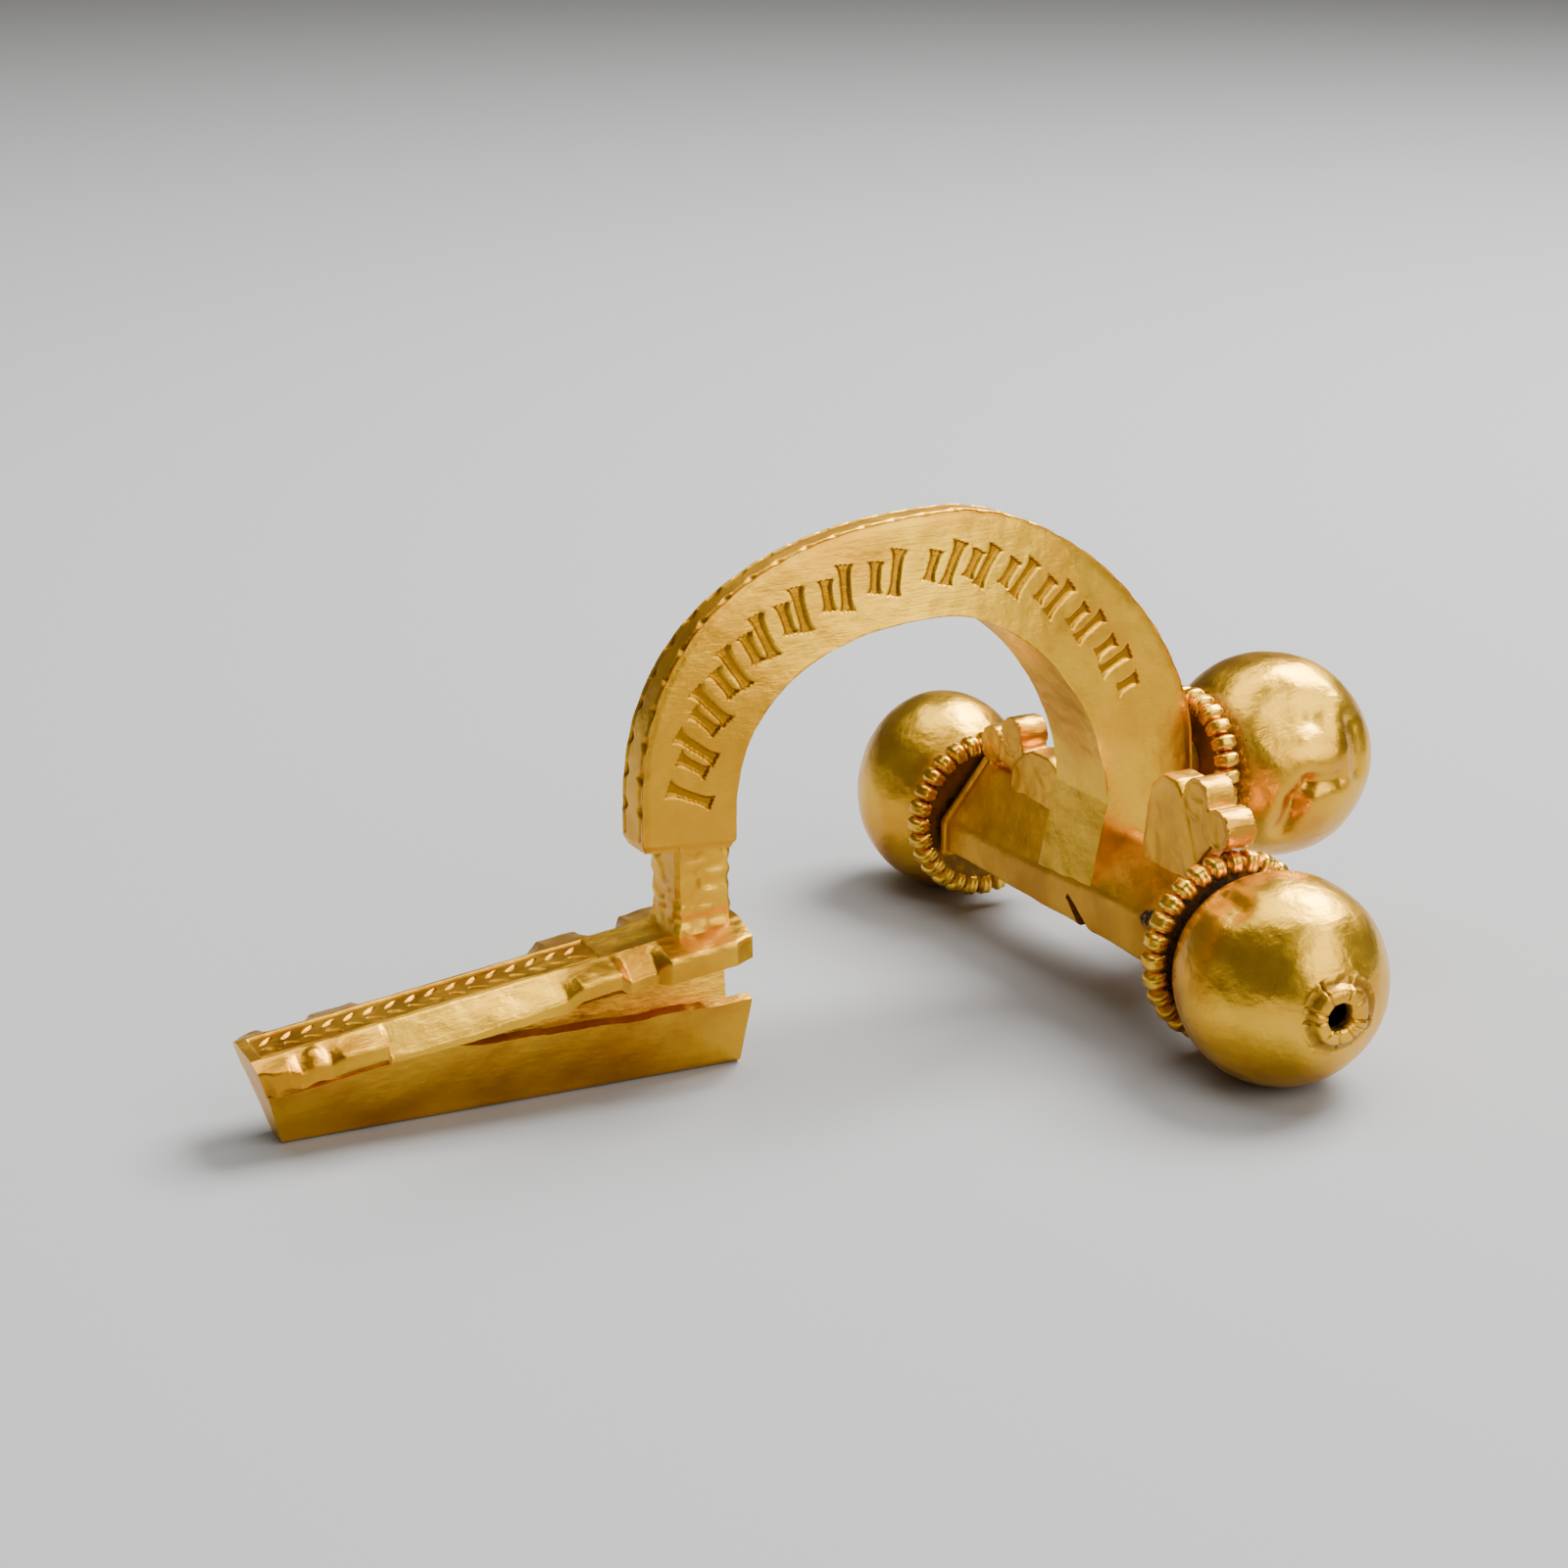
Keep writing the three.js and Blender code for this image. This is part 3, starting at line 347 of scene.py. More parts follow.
def slab(outline, x0, x1, bevel):
    """Flat outline in y and z, from x0 to x1, with softened edges."""
    bm = bmesh.new()
    face = bm.faces.new([bm.verts.new((x0, y, z)) for y, z in outline])
    grown = bmesh.ops.extrude_face_region(bm, geom=[face])
    moved = [g for g in grown["geom"] if isinstance(g, bmesh.types.BMVert)]
    bmesh.ops.translate(bm, verts=moved, vec=(x1 - x0, 0, 0))
    bmesh.ops.bevel(bm, geom=list(bm.edges), offset=bevel, segments=2, affect="EDGES", profile=0.5,
                    material=-1)
    return bm


def rod(radius, length, segments):
    """Round bar about +Z, its middle at the origin."""
    bm = bmesh.new()
    bmesh.ops.create_cone(bm, cap_ends=True, segments=segments, radius1=radius, radius2=radius,
                          depth=length)
    return bm


def turn(bm, by, axis, centre=(0, 0, 0)):
    bmesh.ops.rotate(bm, verts=bm.verts, cent=centre, matrix=Matrix.Rotation(by, 3, axis))


def move(bm, shift):
    bmesh.ops.translate(bm, verts=bm.verts, vec=shift)


def join(target, other):
    """Adds the faces of other to target and frees other."""
    mesh = bpy.data.meshes.new("part")
    other.to_mesh(mesh)
    other.free()
    target.from_mesh(mesh)
    bpy.data.meshes.remove(mesh)


def chamfered(corners, counts, cut):
    """Points round a closed outline, counts to a side, that leave out each sharp corner by cut."""
    points = []
    for a, b, n in zip(corners, corners[1:] + corners[:1], counts):
        side = b - a
        reach = min(cut, side.length * 0.3)
        for i in range(n + 1):
            points.append(a + side.normalized() * mix(reach, side.length - reach, i / n))
    return points


def in_scene(name, data):
    item = bpy.data.objects.new(name, data)
    bpy.context.scene.collection.objects.link(item)
    return item


def mesh_in_scene(name, bm):
    """Object that holds bm, which is freed."""
    mesh = bpy.data.meshes.new(name)
    bm.to_mesh(mesh)
    bm.free()
    return in_scene(name, mesh)


def modified(sources, kind, **settings):
    """New bmesh: the first source under one modifier, which takes the second source as its object."""
    bodies = []
    for source in sources:
        bmesh.ops.recalc_face_normals(source, faces=source.faces)
        bodies.append(mesh_in_scene("body", source))
    modifier = bodies[0].modifiers.new("shape", kind)
    for name, value in settings.items():
        setattr(modifier, name, value)
    if len(bodies) > 1:
        modifier.object = bodies[1]
    result = bmesh.new()
    result.from_object(bodies[0], bpy.context.evaluated_depsgraph_get())
    for body in bodies:
        mesh = body.data
        bpy.data.objects.remove(body)
        bpy.data.meshes.remove(mesh)
    return result


def finish_piece(bm, node, material, sharp=38.0):
    """Turns a bmesh in the brooch's own frame into a finished piece that stands for a node."""
    move(bm, brooch_origin())
    bmesh.ops.recalc_face_normals(bm, faces=bm.faces)
    for face in bm.faces:
        face.smooth = True
    for edge in bm.edges:
        if len(edge.link_faces) == 2 and edge.calc_face_angle() > math.radians(sharp):
            edge.smooth = False
    piece = mesh_in_scene(node + "_dressed", bm)
    piece.data.materials.append(material)
    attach(piece, "root")
    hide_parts(node)


# Materials

def node(tree, kind, inputs=None, output=0, **settings):
    """Adds a node and gives one of its outputs; each input is a value or another node's output."""
    made = tree.nodes.new(kind)
    for key, value in settings.items():
        setattr(made, key, value)
    for key, value in (inputs or {}).items():
        socket = made.inputs[key]
        if isinstance(value, bpy.types.NodeSocket):
            tree.links.new(value, socket)
        else:
            socket.default_value = value
    return made.outputs[output] if made.outputs else None


def gold(name, bright, deep, recess_shade=None, dirty=False, *, roughness, hammer, scratch):
    """Worn gold: bright drifts to deep, cuts and hollows take a darker colour as painted shade, and old
    dirt is dark and dull.

    hammer and scratch are the heights of the hammered dents and of the fine lines, in millimetres.
    The lines are drawn coarser than real ones, so that they show."""
    material = bpy.data.materials.new(name)
    material.use_nodes = True
    tree = material.node_tree
    tree.nodes.clear()
    place = node(tree, "ShaderNodeTexCoord", output="Object")
    stretched = node(tree, "ShaderNodeMapping",
                     {"Vector": place, "Rotation": (0.2, 0.5, 0.4), "Scale": (0.08, 1.0, 1.0)})
    drift, lines, dents, wear = (
        node(tree, "ShaderNodeTexNoise",
             {"Vector": at, "Scale": 1 / (grain * MM), "Detail": detail, "Roughness": harshness})
        for at, grain, detail, harshness in (
            (place, 5.0, 3.0, 0.5), (stretched, 0.16, 3.0, 0.75),
            (place, 1.3, 3.0, 0.5), (place, 1.6, 3.0, 0.5)))
    toned, rough = (
        node(tree, "ShaderNodeMapRange", {0: pattern, 1: low, 2: high, 3: from_value, 4: to_value},
             interpolation_type="SMOOTHSTEP")
        for pattern, low, high, from_value, to_value in (
            (drift, 0.35, 0.68, 0.0, 1.0), (wear, 0.3, 0.7, roughness - 0.04, roughness + 0.05)))
    layers = [(toned, deep)]
    metallic = 1.0
    # Painted shade: a point attribute mixes in the darker colour where shade falls, in cuts, hollows and
    # behind beads.
    if recess_shade:
        layers.append((node(tree, "ShaderNodeAttribute", output="Fac", attribute_name="shade_in_recess"), recess_shade))
    if dirty:
        grime = node(tree, "ShaderNodeAttribute", output="Fac", attribute_name="grime")
        specks = node(tree, "ShaderNodeTexNoise",
                      {"Vector": place, "Scale": 1 / (0.35 * MM), "Detail": 5.0, "Roughness": 0.7})
        patches = node(tree, "ShaderNodeMapRange", {0: specks, 1: 0.36, 2: 0.56},
                       interpolation_type="SMOOTHSTEP")
        dirt = node(tree, "ShaderNodeMath", {0: grime, 1: patches}, operation="MULTIPLY")
        layers.append((dirt, linear(DIRT)))
        rough = node(tree, "ShaderNodeMath", {0: dirt, 1: 0.5, 2: rough}, operation="MULTIPLY_ADD")
        metallic = node(tree, "ShaderNodeMath", {0: dirt, 1: -0.9, 2: metallic}, operation="MULTIPLY_ADD")
    colour = bright
    for share, layer in layers:
        colour = node(tree, "ShaderNodeMix", {0: share, 6: colour, 7: layer}, output=2, data_type="RGBA")
    dented = node(tree, "ShaderNodeBump", {"Height": dents, "Strength": 1.0, "Distance": hammer * MM})
    shader = node(tree, "ShaderNodeBsdfPrincipled", {
        "Base Color": colour,
        "Roughness": rough,
        "Metallic": metallic,
        "Normal": node(tree, "ShaderNodeBump",
                       {"Height": lines, "Strength": 1.0, "Distance": scratch * MM, "Normal": dented}),
    })
    node(tree, "ShaderNodeOutputMaterial", {0: shader})
    return material


# Bow

def quarter(reach, rise, fullness, sweep):
    """Reach and rise at an angle of a quarter of a squared or flattened ellipse."""
    c = max(math.cos(sweep), 0.0)
    s = max(math.sin(sweep), 0.0)
    return reach * c ** (2 / fullness), rise * s ** (2 / fullness)


def bow_edges(p, t):
    """Outer and inner edge of the bow, as x and z, at share t of the arch."""
    if t < 0.5:
        ox, oz = quarter(p.outer_left, p.outer_rise, p.outer_left_fullness, t * math.pi)
        ix, iz = quarter(p.inner_left, p.inner_rise, p.inner_left_fullness, t * math.pi)
        return (p.outer_centre_x - ox, p.spring_z + oz), (p.inner_centre_x - ix, p.spring_z + iz)
    sweep = (1 - t) * math.pi
    ox, oz = quarter(p.outer_right, p.outer_rise, p.outer_right_fullness, sweep)
    rise = p.spring_z + p.inner_rise - p.inner_right_spring_z
    ix, iz = quarter(p.inner_right, rise, p.inner_right_fullness, sweep)
    return (p.outer_centre_x + ox, p.spring_z + oz), (p.inner_centre_x + ix, p.inner_right_spring_z + iz)


def bow_half_widths(p, t, leg):
    """Half widths of the inner and outer face at share t of the arch, leg being the share of the leg."""
    inner = mix(p.inner_half_neck, p.inner_half_head, t)
    outer = mix(p.outer_half_neck, p.outer_half_top, min(1.0, t / p.taper_share))
    outer = mix(outer, p.outer_half_spring, max(0.0, (t - p.widening_from) / (1 - p.widening_from)))
    return inner, mix(outer, p.outer_half_head, leg)


def bow_stations(p):
    """Sections at even steps: (outer, inner, half widths, share of the arch, distance along the middle)."""
    fine = 600
    raw = [(*[(e[0], p.neck_end_z) for e in bow_edges(p, 0)], 0.0, 0.0)]
    raw += [(*bow_edges(p, i / fine), i / fine, 0.0) for i in range(fine + 1)]
    share = (p.spring_z - p.shoulder_z) / (p.spring_z - p.foot_z)
    inner_share = (p.inner_right_spring_z - p.shoulder_z) / (p.inner_right_spring_z - p.foot_z)
    inner_x = mix(bow_edges(p, 1)[1][0], p.foot_inner_x, inner_share)
    raw.append(((p.shoulder_x, p.shoulder_z), (inner_x, p.shoulder_z), 1.0, share))
    raw.append(((p.foot_outer_x, p.foot_z), (p.foot_inner_x, p.foot_z), 1.0, 1.0))
    middles = [Vector(((o[0] + i[0]) / 2, (o[1] + i[1]) / 2)) for o, i, _, _ in raw]
    distance = [0.0]
    for a, b in zip(middles, middles[1:]):
        distance.append(distance[-1] + (b - a).length)
    stations = []
    k = 0
    for row in range(p.rows + 1):
        d = distance[-1] * row / p.rows
        while k < len(raw) - 2 and distance[k + 1] < d:
            k += 1
        s = (d - distance[k]) / max(distance[k + 1] - distance[k], 1e-9)
        (oa, ia, ta, la), (ob, ib, tb, lb) = raw[k], raw[k + 1]
        share = mix(ta, tb, s)
        stations.append((
            (mix(oa[0], ob[0], s), mix(oa[1], ob[1], s)),
            (mix(ia[0], ib[0], s), mix(ia[1], ib[1], s)),
            bow_half_widths(p, share, mix(la, lb, s)),
            share,
            d,
        ))
    return stations


def stroke_rows(p, stations):
    """Strokes as (distance along, lean, half length), two to a place."""
    strokes = []
    for place in range(p.stroke_places):
        for shift, share in ((-0.3, 1.0), (0.3, 0.68)):
            t = mix(p.stroke_first, p.stroke_last, (place + 0.5 + shift) / p.stroke_places)
            d = min(stations, key=lambda s: abs(s[3] - t))[4]
            strokes.append((d, p.stroke_lean, p.stroke_length * share / 2))
    return strokes


def stroke_depth(p, strokes, d, h):
    """How deep the row of strokes cuts at distance d and height h from the middle."""
    deepest = 0.0
    for at, lean, half in strokes:
        if abs(d - at) > half + p.stroke_width:
            continue
        along = h * math.cos(lean) + (d - at) * math.sin(lean)
        across = -h * math.sin(lean) + (d - at) * math.cos(lean)
        if abs(along) < half:
            wide = p.stroke_width / 2 * (1 + 0.9 * (abs(along) / half) ** 5)
            deepest = max(deepest, smooth(1.8 - 1.8 * abs(across) / wide))
    return deepest * p.stroke_depth


def wedge_depth(d, side, pitch, start, end):
    """Wedge punches that point inward from both border lines of the outer face."""
    if not start < d < end:
        return 0.0
    step = (d % pitch) / pitch - 0.5
    return smooth(1.15 - 3.4 * abs(step) - 1.5 * max(0.0, 0.72 - side) / 0.5) * smooth((1 - side) / 0.1)


def spot_key(point):
    """Rounded place, under which a point is found again once it is in a mesh."""
    return tuple(round(c * 1e7) for c in point)


def paint_recess_shade(bm, shade_by_point):
    """Point attribute of painted shade, which the gold reads as a darker colour."""
    shade_in_recess = bm.verts.layers.float.new("shade_in_recess")
    for v in bm.verts:
        v[shade_in_recess] = shade_by_point.get(spot_key(v.co), 0.0)


def make_bow(p):
    """Arch from section to section, with the strokes, the punched border and uneven planed faces."""
    stations = bow_stations(p)
    strokes = stroke_rows(p, stations)
    near, inner, far, outer = 74, 12, 16, 22
    spread = {n: [mix(0.014, 0.986, i / (n - 1)) for i in range(n)] for n in (near, inner, far, outer)}
    last = stations[-1][4]
    border_end, punch_end = last * 0.86, last * 0.84
    full_cut = 0.1 * MM
    rows = []
    shade_by_point = {}
    for o, i, (wi, wo), t, d in stations:
        corners = [Vector((o[0], -wo, o[1])), Vector((i[0], -wi, i[1])),
                   Vector((i[0], wi, i[1])), Vector((o[0], wo, o[1]))]
        height = (corners[0] - corners[1]).length
        radial = (Vector((o[0], 0, o[1])) - Vector((i[0], 0, i[1]))).normalized()
        middle = (corners[0] + corners[1] + corners[2] + corners[3]) / 4
        end = 1 - 0.09 * (1 - smooth(d / (0.45 * MM)))
        calm = 1 - 0.7 * smooth((t - 0.6) / 0.2)
        nick = (0.05 * wobble(Vector((d, 0, 0)), 1.7 * MM, 12.0) * calm - 0.04) * MM
        ring = []
        for a, b, n in ((0, 1, near), (1, 2, inner), (2, 3, far), (3, 0, outer)):
            for s in spread[n]:
                point = corners[a].lerp(corners[b], s)
                deep = 0.0
                if n == near:
                    deep = stroke_depth(p, strokes, d, (0.5 - s) * height)
                    edge = smooth(1 - s / 0.09)
                    planed = 0.05 * wobble(point, 3.2 * MM) + 0.018 * wobble(point, 0.8 * MM, 2.0)
                    point.y += deep + (planed + 0.03 + 0.06 * edge) * MM
                    point += radial * nick * (smooth(1 - s / 0.12) - smooth(1 - (1 - s) / 0.1))
                elif n == far:
                    point.y -= (0.03 + 0.05 * wobble(point, 2.2 * MM, 3.0)) * MM
                elif n == outer:
                    side = abs(s - 0.5) * 2
                    deep = wedge_depth(d, side, p.punch_pitch, 1.2 * MM, punch_end)
                    if 0.6 * MM < d < border_end:
                        deep = max(deep, 0.55 * smooth(1 - abs(side - 0.74) / 0.13))
                    deep *= p.punch_depth
                    point -= radial * (deep + (0.03 + 0.03 * wobble(point, 1.4 * MM, 4.0)) * MM)
                else:
                    planed = 0.06 * wobble(point, 1.9 * MM, 5.0) + 0.03 * wobble(point, 0.8 * MM, 6.0)
                    point += radial * (0.07 + planed) * MM
                point = middle + (point - middle) * end
                # Painted shade: strokes and punches take the darker colour by their depth, and the head leg
                # low down by the arm is darkened a quarter of the way.
                leg_shade = smooth((9.6 * MM - point.z) / (1.6 * MM)) if t > 0.9 else 0.0
                shade_by_point[spot_key(point)] = max(min(1.0, deep / full_cut), 0.25 * leg_shade)
                ring.append(point)
        rows.append(ring)
    bm = tube(rows)
    paint_recess_shade(bm, shade_by_point)
    return bm


def make_neck(p, foot):
    """Rough rectangular neck between the bow and the foot plate."""
    right = p.inner_centre_x - p.inner_left
    left = right - p.neck_length
    top = p.neck_end_z + 0.4 * MM
    share = (right - foot.tip_x) / (foot.heel_x - foot.tip_x)
    low = mix(foot.tip_top_z, foot.heel_top_z, share) - foot.depth * 0.5
    half = p.neck_width / 2
    rows = []
    steps = 60
    for i in range(steps + 1):
        z = mix(low, top, i / steps)
        flare = 0.22 * MM * smooth((low + 1.2 * MM - z) / (1.2 * MM))
        x0, x1, wide = left - flare, right + flare * 0.3, half + flare
        corners = [Vector((x, y, z)) for x, y in ((x0, -wide), (x1, -wide), (x1, wide), (x0, wide))]
        ring = []
        for point in chamfered(corners, (26, 26, 26, 26), 0.22 * MM):
            out = Vector((point.x - (left + right) / 2, point.y, 0)).normalized()
            folds = wobble(Vector((point.x, point.y, point.z * 1.4)), 0.8 * MM, 1.0)
            bump = 0.13 * folds + 0.04 * wobble(point, 0.35 * MM, 2.0)
            ring.append(point + out * (bump - 0.08) * MM)
        rows.append(ring)
    return tube(rows)


class BROOCH_OT_bow(bpy.types.Operator):
    """Bow with its row of strokes, its neck and the stub for the head collar"""
    bl_idname = "brooch.bow"
    bl_label = "Bow"

    def execute(self, context):
        p = context.scene.brooch_bow
        collar = context.scene.brooch_collar
        bm = make_bow(p)
        join(bm, make_neck(p, context.scene.brooch_foot))
        length = 4 * MM
        stub = rod(p.stub_radius, length, 64)
        turn(stub, QUARTER_TURN, "Y")
        end = collar.head_x - collar.web / 2 - collar.clearance
        move(stub, (end - length / 2, 0, collar.head_z))
        join(bm, stub)
        # Cast gold, filed flat and burnished: a broad satin glint with fine file lines
        material = gold("Burnished cast gold", p.bright, p.deep, p.recess_shade,
                        roughness=0.39, hammer=0.1, scratch=0.024)
        finish_piece(bm, "bow", material)
        return {"FINISHED"}


# Foot

def plate_stations(p):
    """Outline of the rim: (share of the length, half width, drop below the band)."""
    lug, low, deep = p.lug_step, p.lug_drop, p.waist_drop
    tip, waist, heel = p.tip_half, p.waist_half, p.heel_half
    notch, narrow = tip + lug * 0.3, heel - lug * 1.9
    return [
        (0, tip, low), (0.06, tip + lug, low), (0.085, notch, deep * 0.55), (0.145, notch, deep * 0.55),
        (0.165, waist, low * 1.4), (0.25, waist, low * 1.4), (0.26, waist - lug * 0.7, deep),
        (0.44, waist + lug * 0.3, deep * 0.9), (0.61, waist + lug * 0.5, deep * 0.7),
        (0.64, waist + lug * 1.2, low), (0.72, waist + lug * 1.2, low), (0.745, narrow, deep * 0.75),
        (0.8, narrow, deep * 0.7), (0.82, heel, low), (0.96, heel, low), (1, heel - lug * 1.2, low * 1.8),
    ]


def station_at(rows, u):
    """Half width and drop at share u, straight between two stations."""
    for (ua, ha, da), (ub, hb, db) in zip(rows, rows[1:]):
        if u <= ub:
            s = (u - ua) / (ub - ua)
            return mix(ha, hb, s), mix(da, db, s)
    return rows[-1][1:]


def leaf_depth(p, x, y):
    """Two rows of slanted leaves between the border lines."""
    start = p.tip_x + 0.7 * MM
    end = p.tip_x + p.line_length - 0.3 * MM
    if not start < x < end:
        return 0.0
    slant, reach = 0.72, 0.44 * MM
    deepest = 0.0
    nearest = round((x - start) / p.leaf_pitch - 0.5)
    for k in (nearest - 1, nearest, nearest + 1):
        dx = x - (start + (k + 0.5) * p.leaf_pitch)
        dy = abs(y) - 0.45 * MM
        along = dx * math.cos(slant) + dy * math.sin(slant)
        across = -dx * math.sin(slant) + dy * math.cos(slant)
        if abs(along) < reach:
            wide = 0.14 * MM * (1 - (along / reach) ** 2) + 1e-9
            deepest = max(deepest, smooth(1.1 - 1.1 * abs(across) / wide))
    return deepest * p.leaf_depth


def turn_foot(bm, p):
    turn(bm, -p.turn, "Z", (p.heel_x, 0, 0))


def row_between(x, a, b, steps):
    """Points at x from a to b, both (y, z), without a itself."""
    shares = [k / steps for k in range(1, steps + 1)]
    return [Vector((x, mix(a[0], b[0], share), mix(a[1], b[1], share))) for share in shares]


def plate_top(p, x, top, shade_by_point):
    """Points across the raised band, with the border lines, the sunk field and the leaves."""
    points = []
    faces = 43
    for k in range(faces + 1):
        y = mix(-p.band_half, p.band_half, k / faces)
        field = line = 0.0
        if p.tip_x + 0.5 * MM < x < p.tip_x + p.line_length:
            line = p.line_depth * smooth(1.2 - 1.2 * abs(abs(y) - p.line_from_middle) / (p.line_width / 2))
            field = p.field_depth * smooth((p.line_from_middle - abs(y)) / (0.1 * MM))
        deep = max(line, leaf_depth(p, x, y) + field)
        wear = (0.04 - 0.03 * wobble(Vector((x, y, top)), 1.1 * MM)) * MM
        points.append(Vector((x, y, top - deep - wear)))
        # Painted shade: border lines, sunk field and leaves take the darker colour by their depth.
        if deep > 0.02 * MM:
            shade_by_point[spot_key(points[-1])] = min(1.0, deep / (0.12 * MM))
    return points


class BROOCH_OT_foot_plate(bpy.types.Operator):
    """Foot plate with stepped rims, border lines and punched leaves"""
    bl_idname = "brooch.foot_plate"
    bl_label = "Foot plate"

    def execute(self, context):
        p = context.scene.brooch_foot
        stations = plate_stations(p)
        steps = 330
        fold = 0.08 * MM
        rows = []
        shade_by_point = {}
        for i in range(steps + 1):
            u = i / steps
            x = mix(p.tip_x, p.heel_x, u)
            half, drop = station_at(stations, u)
            half -= 0.3 * MM * (1 - smooth((x - p.tip_x) / (0.7 * MM)))
            top = mix(p.tip_top_z, p.heel_top_z, u)
            under = top - p.depth
            drop += (0.05 + 0.09 * wobble(Vector((x, 0, 0)), 1.3 * MM, 14.0)) * MM
            half -= (0.05 + 0.05 * wobble(Vector((x, 0, 0)), 1.0 * MM, 15.0)) * MM
            rim = top - drop
            thick = mix(p.rim_thickness, p.heel_rim, smooth((u - 0.79) / 0.03))
            rim_low = max(rim - thick, under + 0.05 * MM)
            root = min(half - 0.15 * MM, p.sheath_tip_half)
            ring = [Vector((x, fold - half, rim))]
            ring += row_between(x, (fold - half, rim), (-p.band_half, top), 10)[:-1]
            ring += plate_top(p, x, top, shade_by_point)
            ring += row_between(x, (p.band_half, top), (half - fold, rim), 10)
            ring.append(Vector((x, half, rim - fold)))
            corners = ((half, rim - fold), (half, rim_low), (root, under),
                       (-root, under), (-half, rim_low), (-half, rim - fold))
            for a, b, n in zip(corners, corners[1:], (4, 3, 6, 3, 4)):
                ring += row_between(x, a, b, n)
            rows.append(ring)
        bm = tube(rows)
        paint_recess_shade(bm, shade_by_point)
        mound = Vector((p.tip_x + 2.6 * MM, -1.95 * MM, 0))
        for v in bm.verts:
            if abs(v.co.y) > p.band_half + 0.03 * MM:
                away = (Vector((v.co.x, v.co.y, 0)) - mound).length
                v.co.z += 0.3 * MM * smooth(1 - away / (0.75 * MM)) - 0.05 * MM
                v.co.z += 0.05 * MM * wobble(v.co, 0.8 * MM, 4.0)
                v.co.y *= 1 - 0.014 * (1 + wobble(v.co, 0.9 * MM, 6.0))
            lean = p.tip_slant * (1 - v.co.z / p.tip_top_z)
            v.co.x += lean * (1 - smooth((v.co.x - p.tip_x) / (1.2 * MM)))
        turn_foot(bm, p)
        # Cast gold, punched and worn by handling: uneven glints, with cuts darkened as painted shade
        material = gold("Punched and worn gold", p.bright, p.deep, p.recess_shade,
                        roughness=0.37, hammer=0.12, scratch=0.024)
        finish_piece(bm, "foot_plate", material, sharp=50.0)
        return {"FINISHED"}


class BROOCH_OT_catch_sheath(bpy.types.Operator):
    """Folded sheath under the foot plate, open on its near side"""
    bl_idname = "brooch.catch_sheath"
    bl_label = "Catch sheath"

    def execute(self, context):
        p = context.scene.brooch_foot
        tip = p.tip_x + 0.05 * MM
        heel = p.heel_x + p.heel_overhang
        slot_start = heel - p.slot_length
        gap = context.scene.brooch_collar.clearance
        low, curve = p.sheath_low_half, p.sheath_round

        def top_at(x):
            return mix(p.tip_top_z, p.heel_top_z, (x - p.tip_x) / (p.heel_x - p.tip_x)) - p.depth - gap

        def section(u):
            """The folded sheet at share u of its length, from its near lip round to its far edge."""
            x = mix(tip, heel, u)
            top = top_at(x)
            half = mix(p.sheath_tip_half, p.sheath_heel_half, (x - p.tip_x) / (p.heel_x - p.tip_x))
            half -= 0.3 * MM * (1 - smooth((x - tip) / (0.7 * MM)))
            lean = mix(p.tip_slant, -p.heel_slant, u)
            along = Vector((x, 0, 0))
            ragged = 0.26 * wobble(along, 3.1 * MM, 21.0) + 0.05 * wobble(along, 0.5 * MM, 22.0) - 0.1
            lip = mix(p.lip_tip_z, p.lip_heel_z, u) + ragged * MM
            opening = mix(top, min(lip, top), smooth((x - slot_start) / (2.4 * MM)))

            def wall(z_from, z_to, faces=17):
                heights = [mix(z_from, z_to, k / faces) for k in range(faces + 1)]
                return [(mix(low + curve, half, (z - curve) / (top - curve)), z) for z in heights]

            arc = []
            for k in range(1, 5):
                a = k / 5 * QUARTER_TURN
                arc.append((low + curve * math.cos(a), curve - curve * math.sin(a)))
            path = [(-y, z) for y, z in wall(opening, curve) + arc]
            path += [(-low, 0.0), (0.0, 0.0), (low, 0.0), *reversed(arc), *wall(curve, top)]
            return [Vector((x + lean * (1 - z / (top + p.depth + gap)), y, z)) for y, z in path]

        rows = 150
        sections = [section(i / rows) for i in range(rows + 1)]
        columns = len(sections[0])
        bm = bmesh.new()
        bmesh.ops.create_grid(bm, x_segments=rows, y_segments=columns - 1, size=1)
        for v in bm.verts:
            i = round((v.co.x + 1) / 2 * rows)
            k = round((v.co.y + 1) / 2 * (columns - 1))
            v.co = sections[i][k]
        bmesh.ops.recalc_face_normals(bm, faces=bm.faces)
        middle = Vector(((tip + heel) / 2, 0, 2 * MM))
        outward = sum(f.normal.dot(f.calc_center_median() - middle) > 0 for f in bm.faces)
        if outward <= len(bm.faces) / 2:
            bmesh.ops.reverse_faces(bm, faces=bm.faces)
        bmesh.ops.solidify(bm, geom=list(bm.faces), thickness=p.sheath_wall)
        for v in bm.verts:
            if v.co.z > 0.15 * MM:
                v.co.y += 0.06 * MM * wobble(v.co, 2.4 * MM, 7.0) + 0.02 * MM * wobble(v.co, 0.6 * MM, 8.0)
        cap = []
        for k in range(3):
            x = tip + p.tip_wall * k / 2
            u = (x - tip) / (heel - tip)
            cap.append([Vector((q.x, q.y * 0.97, mix(q.z, top_at(x) / 2, 0.02))) for q in section(u)])
        join(bm, tube(cap))
        turn_foot(bm, p)
        # Folded gold sheet, rubbed by wear: soft, slightly dull glints
        material = gold("Worn gold sheet", p.sheath_bright, p.sheath_deep,
                        roughness=0.4, hammer=0.12, scratch=0.02)
        finish_piece(bm, "catch_sheath", material, sharp=45.0)
        return {"FINISHED"}


# Arm

